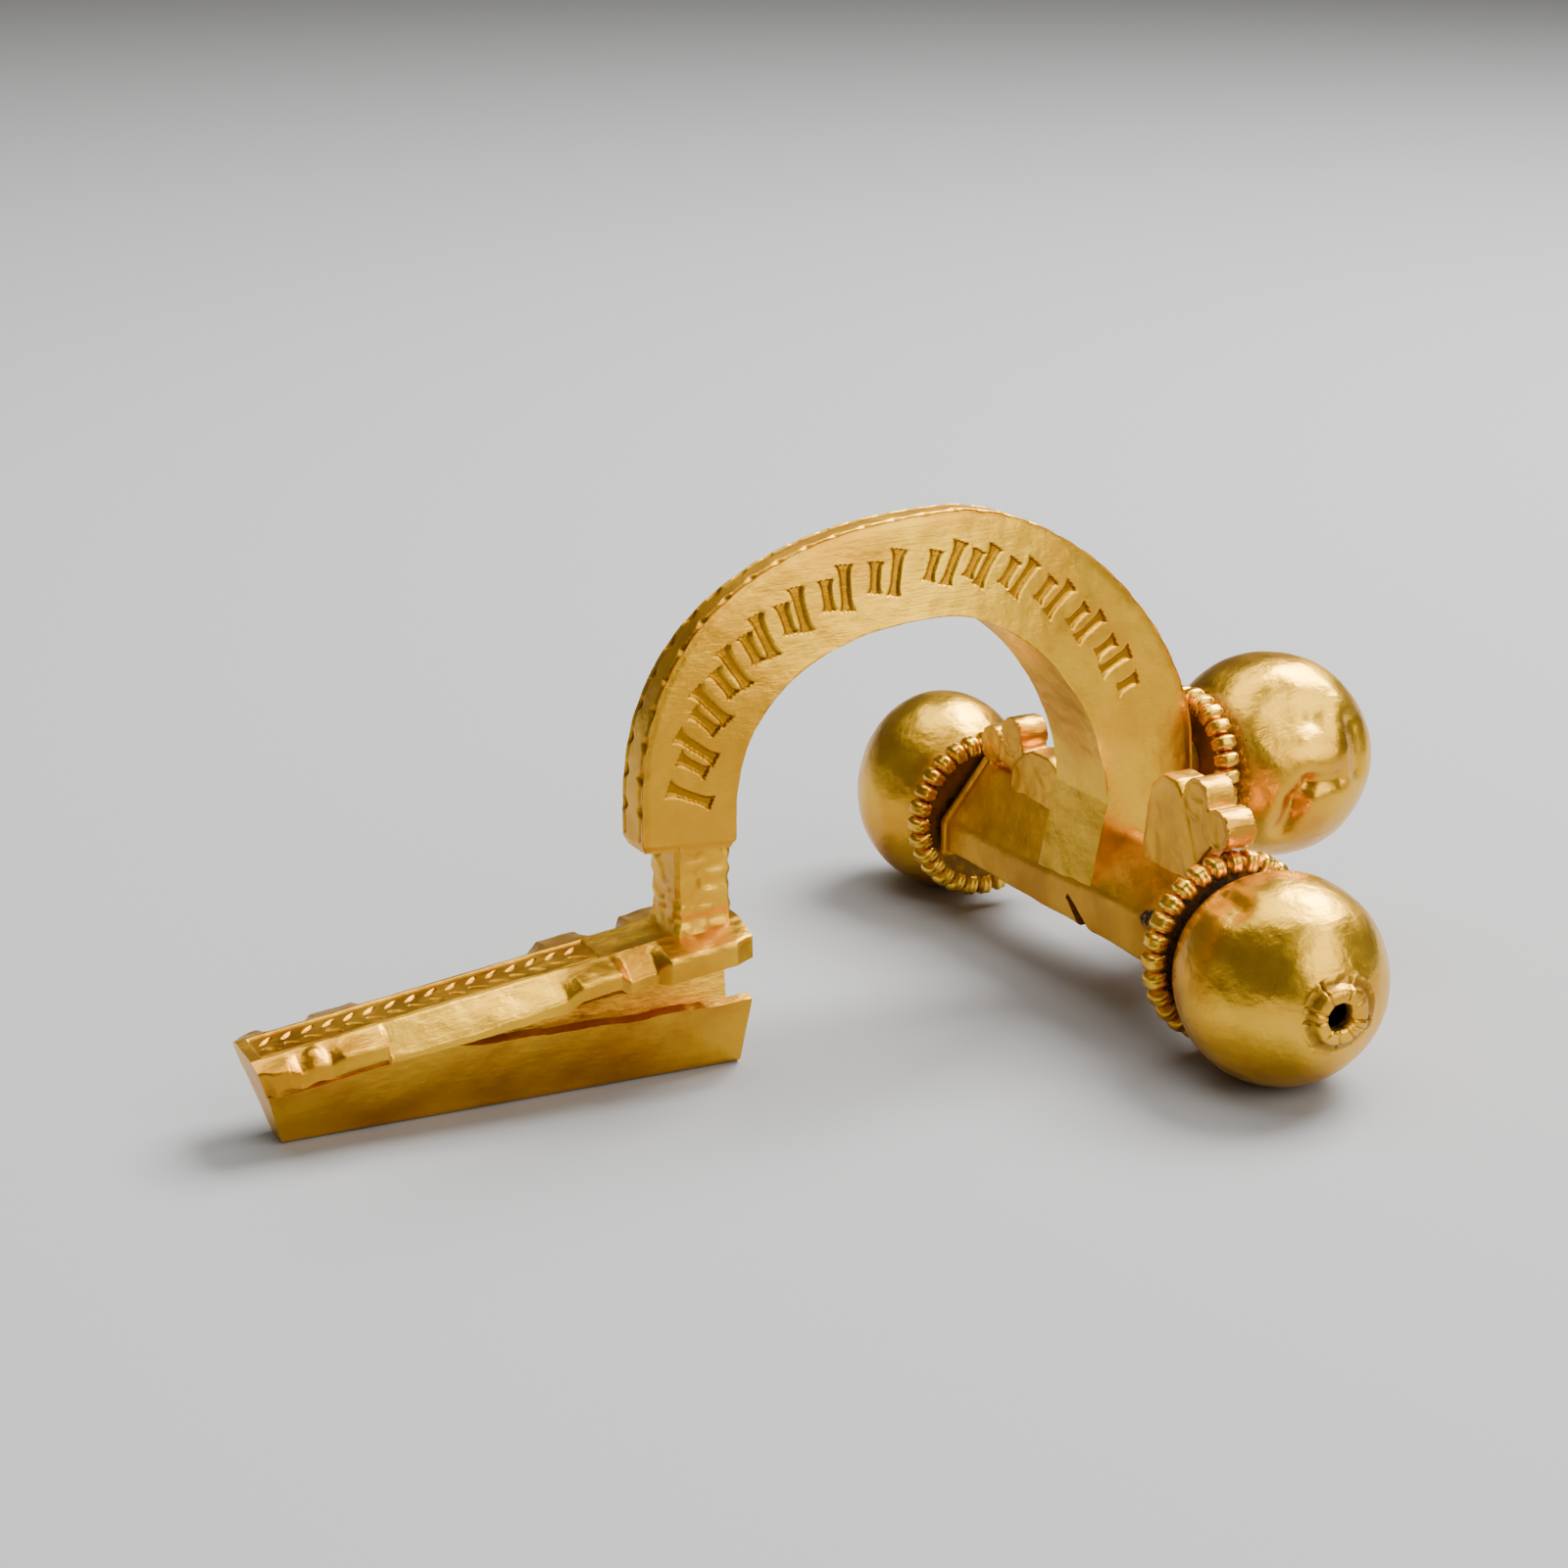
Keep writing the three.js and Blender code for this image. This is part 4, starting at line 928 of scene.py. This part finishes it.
def arm_corners(p, y, grow=0.0):
    """House-shaped outline of the arm at y, larger all round by grow."""
    share = max(0.0, min(1.0, (p.edge_reach - y) / (2 * p.edge_reach)))
    edge = p.axis_z + mix(p.edge_far, p.edge_near, share) + grow * 0.4
    w, rib = p.half_width + grow, p.rib_half
    low, ridge = p.axis_z - p.underside - grow, p.axis_z + p.ridge + grow
    outline = [(-w, low), (w, low), (w, edge), (rib * 1.6, ridge), (rib, ridge + p.rib_height),
               (-rib, ridge + p.rib_height), (-rib * 1.6, ridge), (-w, edge)]
    return [Vector((x, y, z)) for x, z in outline]


def arm_body(p, y0, y1, steps, grow=0.0, inset=0.0):
    """Arm section from y0 to y1; inset softens both ends."""
    rows = []
    for i in range(steps + 1):
        y = mix(y0, y1, i / steps)
        end = inset if i in (0, steps) else 0.0
        rows.append(chamfered(arm_corners(p, y, grow - end), (22, 9, 14, 1, 4, 1, 14, 9), 0.14 * MM))
    return tube(rows)


def hinge_cutter(p):
    """Leaning wedge that cuts the hinge slot from the side towards the foot, wider at its mouth."""
    overrun = 1.5 * MM
    proud = 1 * MM
    bm = bmesh.new()
    bmesh.ops.create_cube(bm, size=1)
    for v in bm.verts:
        if v.co.z < 0:
            v.co.y *= p.slot_mouth / p.slot_width
    box = (p.slot_depth + proud, p.slot_width, p.slot_length + overrun)
    bmesh.ops.scale(bm, verts=bm.verts, vec=box)
    move(bm, ((p.slot_depth - proud) / 2 - p.half_width, 0, (p.slot_length - overrun) / 2))
    turn(bm, -p.slot_lean, "X")
    move(bm, (0, p.slot_y, p.axis_z - p.underside))
    return bm


class BROOCH_OT_cross_arm(bpy.types.Operator):
    """Cross-arm with end flanges and the leaning hinge slot"""
    bl_idname = "brooch.cross_arm"
    bl_label = "Cross-arm"

    def execute(self, context):
        p = context.scene.brooch_arm
        c = context.scene.brooch_collar
        y0 = -p.near_collar + c.bead_length / 2 + c.clearance
        y1 = p.far_collar - c.bead_length / 2 - c.clearance
        bm = arm_body(p, y0, y1, 96)
        for v in bm.verts:
            out = Vector((v.co.x, 0, v.co.z - p.axis_z)).normalized()
            planed = 0.07 * wobble(v.co, 2.0 * MM, 9.0) + 0.025 * wobble(v.co, 0.6 * MM, 11.0)
            v.co += out * (planed - 0.06) * MM
        bm = modified([bm, hinge_cutter(p)], "BOOLEAN", operation="DIFFERENCE", solver="EXACT")
        for a, b in ((y0, y0 + p.flange), (y1 - p.flange, y1)):
            join(bm, arm_body(p, a, b, 4, grow=p.flange_step, inset=0.1 * MM))
        start = -p.near_collar + c.web / 2 + c.clearance
        end = p.far_collar - c.web / 2 - c.clearance
        spigot = rod(p.spigot_radius, end - start, 48)
        turn(spigot, QUARTER_TURN, "X")
        move(spigot, (0, (start + end) / 2, p.axis_z))
        join(bm, spigot)
        grime = bm.verts.layers.float.new("grime")
        corner = Vector((-p.half_width, y0 + 2.0 * MM, p.axis_z + p.edge_near))
        for v in bm.verts:
            joint = smooth((y0 + 1.1 * MM - v.co.y) / (1.0 * MM))
            spot = smooth(1.6 - 1.6 * (v.co - corner).length / (0.75 * MM))
            v[grime] = max(joint * 0.7, 1.6 * spot)
        # Bent and soldered gold, scraped and never polished: a broad dull glint
        material = gold("Dull scraped gold", p.bright, p.deep, dirty=True,
                        roughness=0.5, hammer=0.12, scratch=0.028)
        finish_piece(bm, "cross_arm", material)
        return {"FINISHED"}


# Collars

def make_collar(c, radius, beads, dirt):
    """Collar about +Z: a web and a rim of grains, each with a soft groove round its middle."""
    rim = radius - c.bead_height
    half = c.web / 2
    core = radius - 0.7 * MM
    long = c.bead_length / 2
    step = 0.1 * MM
    side = [(0, half), (rim - step, half), (rim + step, half), (core, long * 0.72)]
    bm = lathe([(r, -z) for r, z in side] + [(core + step / 2, 0)] + side[::-1], 96)
    grime = bm.verts.layers.float.new("grime")
    shade_in_recess = bm.verts.layers.float.new("shade_in_recess")
    # Painted shade: the web behind the beads takes the darker colour; the grime values add patchy dirt on
    # it.
    for v in bm.verts:
        v[shade_in_recess] = 0.9
        v[grime] = dirt
    bead = bmesh.new()
    bmesh.ops.create_uvsphere(bead, u_segments=20, v_segments=14, radius=1)
    grain = math.tau * (radius - 0.45 * MM) / beads / 2
    for v in bead.verts:
        groove = 1 - 0.13 * math.exp(-(v.co.y / 0.25) ** 2)
        x = math.copysign(abs(v.co.x) ** 0.8, v.co.x)
        z = math.copysign(abs(v.co.z) ** 0.75, v.co.z)
        v.co = Vector((x * 0.62 * MM * groove, v.co.y * grain, z * long * 0.98 * groove))
    move(bead, (radius - 0.63 * MM, 0, 0))
    bmesh.ops.spin(bead, geom=list(bead.verts) + list(bead.edges) + list(bead.faces), cent=(0, 0, 0),
                   axis=(0, 0, 1), angle=math.tau, steps=beads, use_duplicate=True)
    bmesh.ops.remove_doubles(bead, verts=bead.verts, dist=1e-7)
    for v in bead.verts:
        v.co += v.co.normalized() * 0.035 * MM * wobble(v.co, 0.7 * MM, radius * 1e4)
    join(bm, bead)
    return bm


class BROOCH_OT_collars(bpy.types.Operator):
    """Three beaded collars"""
    bl_idname = "brooch.collars"
    bl_label = "Beaded collars"

    def execute(self, context):
        c = context.scene.brooch_collar
        arm = context.scene.brooch_arm
        # Grains rolled from wire and soldered, rubbed bright on top: small sharp glints; the web behind
        # them is darkened as painted shade
        material = gold("Beaded gold", c.bright, c.deep, c.recess_shade, dirty=True,
                        roughness=0.3, hammer=0.05, scratch=0.006)
        near = (0, -arm.near_collar, arm.axis_z)
        far = (0, arm.far_collar, arm.axis_z)
        head = (c.head_x, 0, c.head_z)
        for name, radius, beads, dirt, place, by, axis in (
            ("near_collar", c.near_radius, c.beads, 1.0, near, QUARTER_TURN, "X"),
            ("far_collar", c.far_radius, c.beads, 0.35, far, -QUARTER_TURN, "X"),
            ("head_collar", c.head_radius, c.head_beads, 0.35, head, QUARTER_TURN, "Y"),
        ):
            bm = make_collar(c, radius, beads, dirt)
            turn(bm, by, axis)
            move(bm, place)
            finish_piece(bm, name, material, sharp=60.0)
        return {"FINISHED"}


# Knobs

# Dents as two directions from the knob's centre, with width and depth in millimetres
DENTS = {
    "near_knob": (
        ((-0.87, -0.38, 0.3), (-0.83, -0.44, 0.36), 2.0, 0.3),
        ((-0.57, -0.06, 0.82), (-0.51, 0.29, 0.81), 0.65, 0.3),
        ((0.34, -0.85, 0.41), (0.3, -0.8, 0.5), 1.4, 0.07),
        ((-0.7, -0.65, -0.3), (-0.6, -0.72, -0.35), 1.6, 0.06),
    ),
    "far_knob": (
        ((-0.85, -0.3, 0.4), (-0.75, -0.3, 0.55), 1.6, 0.08),
    ),
    "head_knob": (
        ((-0.25, -0.72, 0.64), (-0.1, -0.76, 0.64), 1.8, 0.65),
        ((-0.01, -0.81, 0.59), (0.02, -0.76, 0.65), 0.35, 0.12),
        ((-0.36, -0.79, -0.49), (-0.33, -0.92, -0.21), 0.55, 0.42),
        ((-0.3, -0.94, -0.18), (-0.2, -0.98, -0.02), 0.55, 0.4),
        ((-0.16, -0.98, -0.02), (0.18, -0.98, 0.0), 0.55, 0.4),
        ((-0.52, -0.76, -0.36), (-0.48, -0.86, -0.08), 0.6, -0.09),
        ((0.46, -0.77, 0.44), (0.43, -0.9, 0.03), 0.7, 0.34),
    ),
}


def knob_profile(k, radius, centre, neck, hollow):
    """Knob about +Z from the face of its collar at zero to its boss."""
    start = math.acos(min(0.95, (centre - 0.45 * MM) / radius))
    end = math.asin(k.nipple_radius / radius)
    points = [(0.0, 0.0), (neck * 0.5, 0.0), (neck, 0.0)]
    steps = 90
    for i in range(steps + 1):
        a = mix(start, math.pi - end, i / steps)
        points.append((radius * math.sin(a), centre - radius * math.cos(a)))
    top = points[-1][1]
    boss = [(k.nipple_radius * 0.97, 0.55), (k.nipple_radius * 0.88, 0.92), (k.nipple_radius * 0.7, 1.0),
            (k.hole_radius * 1.12, 0.9)]
    boss += [(k.hole_radius, 0.4)] if hollow else [(k.hole_radius, 0.5), (0.0, 0.4)]
    points += [(r, top + k.nipple_height * share) for r, share in boss]
    if hollow:
        core = radius - k.wall
        hole = math.asin(k.hole_radius / core)
        back = math.acos(min(0.95, (centre - k.wall) / core))
        inner_steps = 24
        for i in range(inner_steps + 1):
            a = mix(math.pi - hole, back, i / inner_steps)
            points.append((core * math.sin(a), centre - core * math.cos(a)))
        points.append((0.0, points[-1][1]))
    return points


def press(bm, middle, a, b, width, depth):
    """Dents a ball along the line between the directions a and b; a negative depth raises it."""
    a, b = Vector(a).normalized(), Vector(b).normalized()
    line = b - a
    for v in bm.verts:
        offset = v.co - middle
        out = offset.normalized()
        share = max(0.0, min(1.0, (out - a).dot(line) / line.length_squared))
        away = (out - (a + line * share).normalized()).length * offset.length
        v.co -= out * depth * math.exp(-(away / width) ** 2)


def make_knob(k, radius, centre, neck, hollow, seed):
    """Knob about +Z, worn uneven; a hollow one has a torn, sunken boss that sits off the middle."""
    bm = lathe(knob_profile(k, radius, centre, neck, hollow), k.segments)
    middle = Vector((0, 0, centre))
    grime = bm.verts.layers.float.new("grime")
    shade_in_recess = bm.verts.layers.float.new("shade_in_recess")
    end = centre + radius
    for v in bm.verts:
        offset = v.co - middle
        r = math.hypot(v.co.x, v.co.y)
        if offset.length > radius - k.wall * 0.5 and r > k.nipple_radius * 1.05:
            soft = 0.07 * wobble(v.co, 3.0 * MM, seed) + 0.015 * wobble(v.co, 0.9 * MM, seed + 1)
            v.co -= offset.normalized() * (0.09 + soft) * MM
        torn = 0.0
        if hollow and v.co.z > end - 1.1 * MM:
            torn = smooth(1.3 - 1.3 * abs(r - k.nipple_radius * 1.05) / (0.85 * MM))
        if torn:
            around = Vector((v.co.x, v.co.y, 0)).normalized() * 1.0 * MM
            tear = smooth(1 - abs(wobble(around, 0.5 * MM, seed + 5)) / 0.16)
            folds = wobble(v.co, 0.5 * MM, seed + 2)
            v.co.z += torn * (0.13 * folds - 0.16 * tear - 0.08) * MM
            v.co.x *= 1 + 0.2 * torn
            v.co.y *= 1 + 0.2 * torn
            v.co.x += torn * 0.16 * MM * wobble(around, 0.6 * MM, seed + 3)
            v.co.y += torn * 0.16 * MM * wobble(around, 0.6 * MM, seed + 4)
        # Painted shade: the ring round the foot of the boss and the inside of the hollow knob take the
        # darker colour; the grime values are dirt at the collar joint, inside and round the boss.
        rough = smooth(1 - abs(r - k.nipple_radius * 1.15) / (0.4 * MM)) if v.co.z > end - 1.0 * MM else 0.0
        inside = offset.length < radius - k.wall * 0.8
        joint = smooth((0.9 * MM - v.co.z) / (0.7 * MM))
        v[shade_in_recess] = max(rough * 0.7, 0.9 if inside else 0.0)
        v[grime] = max(joint, 1.0 if inside and v.co.z < end else 0.0, rough * 0.25)
        if hollow and v.co.z > centre:
            v.co.x -= k.boss_shift * smooth(1 - math.hypot(v.co.x, v.co.y) / (3.4 * MM))
    return bm


class BROOCH_OT_knobs(bpy.types.Operator):
    """Near knob, hollow with a pierced boss, and the far and head knobs"""
    bl_idname = "brooch.knobs"
    bl_label = "Knobs"

    def execute(self, context):
        k = context.scene.brooch_knob
        c = context.scene.brooch_collar
        arm = context.scene.brooch_arm
        # Sheet gold raised to a ball, burnished and since knocked: round glints broken by dents
        material = gold("Polished dented gold", k.bright, k.deep, k.recess_shade, dirty=True,
                        roughness=0.31, hammer=0.1, scratch=0.014)
        foot = c.web / 2 + c.clearance
        near = Vector((0, -arm.near_collar, k.near_radius - k.rest_flat))
        far = Vector((0, arm.far_collar, k.far_half_height - k.rest_flat))
        head = Vector((c.head_x, 0, k.head_z))
        stretch = k.far_half_height / k.far_half_width
        reach = k.from_collar
        head_reach = k.head_x - c.head_x
        for name, radius, height, neck, centre, seed, collar, outward, by, axis in (
            ("near_knob", k.near_radius, 1, k.neck, reach, 1, near, (0, -1, 0), QUARTER_TURN, "X"),
            ("far_knob", k.far_half_width, stretch, k.neck, reach, 5, far, (0, 1, 0), -QUARTER_TURN, "X"),
            ("head_knob", k.head_radius, 1, k.head_neck, head_reach, 9, head, (1, 0, 0), QUARTER_TURN, "Y"),
        ):
            bm = make_knob(k, radius, centre - foot, neck, name == "near_knob", seed)
            turn(bm, by, axis)
            bmesh.ops.scale(bm, verts=bm.verts, vec=(1, 1, height))
            move(bm, collar + Vector(outward) * foot)
            for a, b, width, depth in DENTS[name]:
                press(bm, collar + Vector(outward) * centre, a, b, width * MM, depth * MM)
            for v in bm.verts:
                v.co.z = max(v.co.z, 0.0)
            finish_piece(bm, name, material, sharp=70.0)
        return {"FINISHED"}


# Crests

def fuse(bm, grain, rounds):
    """One skin of even faces round all shells of bm, its edges worn soft."""
    result = modified([bm], "REMESH", mode="VOXEL", voxel_size=grain)
    for _ in range(rounds):
        bmesh.ops.smooth_vert(result, verts=result.verts, factor=0.5,
                              use_axis_x=True, use_axis_y=True, use_axis_z=True)
    result.normal_update()
    return result


def crest_outlines(s, base, side, kind):
    """Leaf and stem as outlines, then the places of the upper and outer curl, kind being near or far."""
    start, width, height, upper_out, upper_up, outer_out, outer_up = (
        getattr(s, f"{kind}_{measure}") for measure in (
            "from", "leaf_width", "leaf_height", "upper_out", "upper_up", "outer_out", "outer_up"))
    end = start + width
    foot, top = base - 1.2 * MM, base + height
    leaf = [
        (start - 0.5 * MM, foot), (end + 1.2 * MM, foot), (end + 1.1 * MM, base + 0.4 * MM),
        (end + 0.4 * MM, mix(base, top, 0.55)), (end - 0.1 * MM, mix(base, top, 0.82)),
        (end - 0.8 * MM, top), (start + 0.9 * MM, top), (start + 0.1 * MM, mix(base, top, 0.84)),
        (start - 0.3 * MM, mix(base, top, 0.5)), (start - 0.5 * MM, base + 0.3 * MM),
    ]
    upper = (end + upper_out, base + upper_up)
    outer = (end + outer_out, base + outer_up)
    w = s.stem_width / 2
    stem = [
        (end - 0.9 * MM, base + 0.6 * MM), (end + 0.9 * MM, base + 0.2 * MM), (outer[0], outer[1] - w),
        (outer[0], outer[1] + w), (mix(upper[0], outer[0], 0.42), mix(upper[1], outer[1], 0.62)),
        (upper[0] + w, upper[1]), (upper[0] - w, upper[1]), (end - 0.5 * MM, base + height * 0.5),
    ]
    return [[(side * y, z) for y, z in points] for points in (leaf, stem, (upper, outer))]


def curl(s, y, z):
    """Rolled end of a stem: a short thick roll with a shallow eye on each side."""
    bm = rod(s.curl_radius, s.thickness, 32)
    ends = [f for f in bm.faces if len(f.verts) > 4]
    bmesh.ops.inset_individual(bm, faces=ends, thickness=0.35 * MM, depth=-0.1 * MM)
    turn(bm, QUARTER_TURN, "Y")
    move(bm, (0, y, z))
    return bm


class BROOCH_OT_crests(bpy.types.Operator):
    """Volute crests on both sides of the bow"""
    bl_idname = "brooch.crests"
    bl_label = "Crests"

    def execute(self, context):
        s = context.scene.brooch_crest
        arm = context.scene.brooch_arm
        base = arm.axis_z + arm.ridge + arm.rib_height
        half = s.thickness / 2
        # Thick sheet, cut, curled and rubbed round: small soft glints
        material = gold("Cut and curled gold", s.bright, s.deep, roughness=0.35, hammer=0.12, scratch=0.022)
        for kind, side in (("near", -1), ("far", 1)):
            leaf, stem, curls = crest_outlines(s, base, side, kind)
            bm = slab(leaf, -half, half, 0.12 * MM)
            join(bm, slab(stem, -half * 0.92, half * 0.92, 0.1 * MM))
            for y, z in curls:
                join(bm, curl(s, y, z))
            bm = fuse(bm, 0.07 * MM, 5)
            for v in bm.verts:
                v.co += v.normal * (0.05 * wobble(v.co, 0.7 * MM, 31.0) - 0.02) * MM
            finish_piece(bm, kind + "_crest", material, sharp=60.0)
        return {"FINISHED"}


# Stage

class BROOCH_OT_stage(bpy.types.Operator):
    """Floor, soft lights and the camera at the photograph's viewing angle"""
    bl_idname = "brooch.stage"
    bl_label = "Stage"

    def execute(self, context):
        p = context.scene.brooch_stage
        bm = bmesh.new()
        bmesh.ops.create_grid(bm, x_segments=4, y_segments=4, size=p.floor / 2)
        floor = mesh_in_scene("floor", bm)
        # Matt paper: no glints, so that the shadows stay soft
        paper = bpy.data.materials.new("Grey paper")
        paper.use_nodes = True
        shader = paper.node_tree.nodes["Principled BSDF"]
        shader.inputs["Base Color"].default_value = p.paper
        shader.inputs["Roughness"].default_value = 0.9
        floor.data.materials.append(paper)

        world = bpy.data.worlds.new("Studio")
        context.scene.world = world
        world.use_nodes = True
        background = world.node_tree.nodes["Background"]
        background.inputs["Color"].default_value = p.air
        background.inputs["Strength"].default_value = p.air_strength

        target = Vector((0, 0, 0.01))
        lamps = (
            ("Window", (0.25, 0.05, 0.34), (0.24, 0.24), 5.2),
            ("Front fill", (0.16, -0.42, 0.3), (0.5, 0.4), 2.3),
            ("Top", (-0.05, 0.1, 0.5), (0.4, 0.4), 1.8),
        )
        for name, place, extent, power in lamps:
            data = bpy.data.lights.new(name, "AREA")
            data.shape = "RECTANGLE"
            data.size, data.size_y = extent
            data.energy = power
            lamp = in_scene(name, data)
            lamp.location = place
            lamp.rotation_euler = (target - Vector(place)).to_track_quat("-Z", "Y").to_euler()

        data = bpy.data.cameras.new("Camera")
        data.lens = p.lens
        data.sensor_width = 36
        data.clip_start = 0.01
        data.clip_end = 20
        camera = in_scene("Camera", data)
        a, e = p.azimuth, p.elevation
        back = Vector((math.sin(a) * math.cos(e), -math.cos(a) * math.cos(e), math.sin(e)))
        right = Vector((math.cos(a), math.sin(a), 0))
        matrix = Matrix((right, back.cross(right), back)).transposed().to_4x4()
        matrix.translation = Vector((p.camera_x, p.camera_y, p.camera_z)) + brooch_origin()
        camera.matrix_world = matrix
        context.scene.camera = camera
        return {"FINISHED"}


OPERATORS = (
    BROOCH_OT_stage, BROOCH_OT_bow, BROOCH_OT_foot_plate, BROOCH_OT_catch_sheath, BROOCH_OT_cross_arm,
    BROOCH_OT_collars, BROOCH_OT_knobs, BROOCH_OT_crests,
)


class BROOCH_PT_panel(bpy.types.Panel):
    """Buttons and sizes of the brooch"""
    bl_idname = "BROOCH_PT_panel"
    bl_label = "Brooch"
    bl_space_type = "VIEW_3D"
    bl_region_type = "UI"
    bl_category = "Brooch"

    def draw(self, context):
        for operator in OPERATORS:
            self.layout.operator(operator.bl_idname)
        for key, group in GROUPS.items():
            box = self.layout.box()
            box.label(text=group.__name__)
            settings = getattr(context.scene, key)
            for name in group.__annotations__:
                box.prop(settings, name)


CLASSES = (*GROUPS.values(), *OPERATORS, BROOCH_PT_panel)


def register():
    for item in CLASSES:
        bpy.utils.register_class(item)
    for key, group in GROUPS.items():
        setattr(bpy.types.Scene, key, PointerProperty(type=group))


def unregister():
    for key in GROUPS:
        delattr(bpy.types.Scene, key)
    for item in reversed(CLASSES):
        bpy.utils.unregister_class(item)


def main():
    register()
    bpy.ops.brooch.stage()
    bpy.ops.brooch.bow()
    bpy.ops.brooch.foot_plate()
    bpy.ops.brooch.catch_sheath()
    bpy.ops.brooch.cross_arm()
    bpy.ops.brooch.collars()
    bpy.ops.brooch.knobs()
    bpy.ops.brooch.crests()


if __name__ == "__main__":
    main()
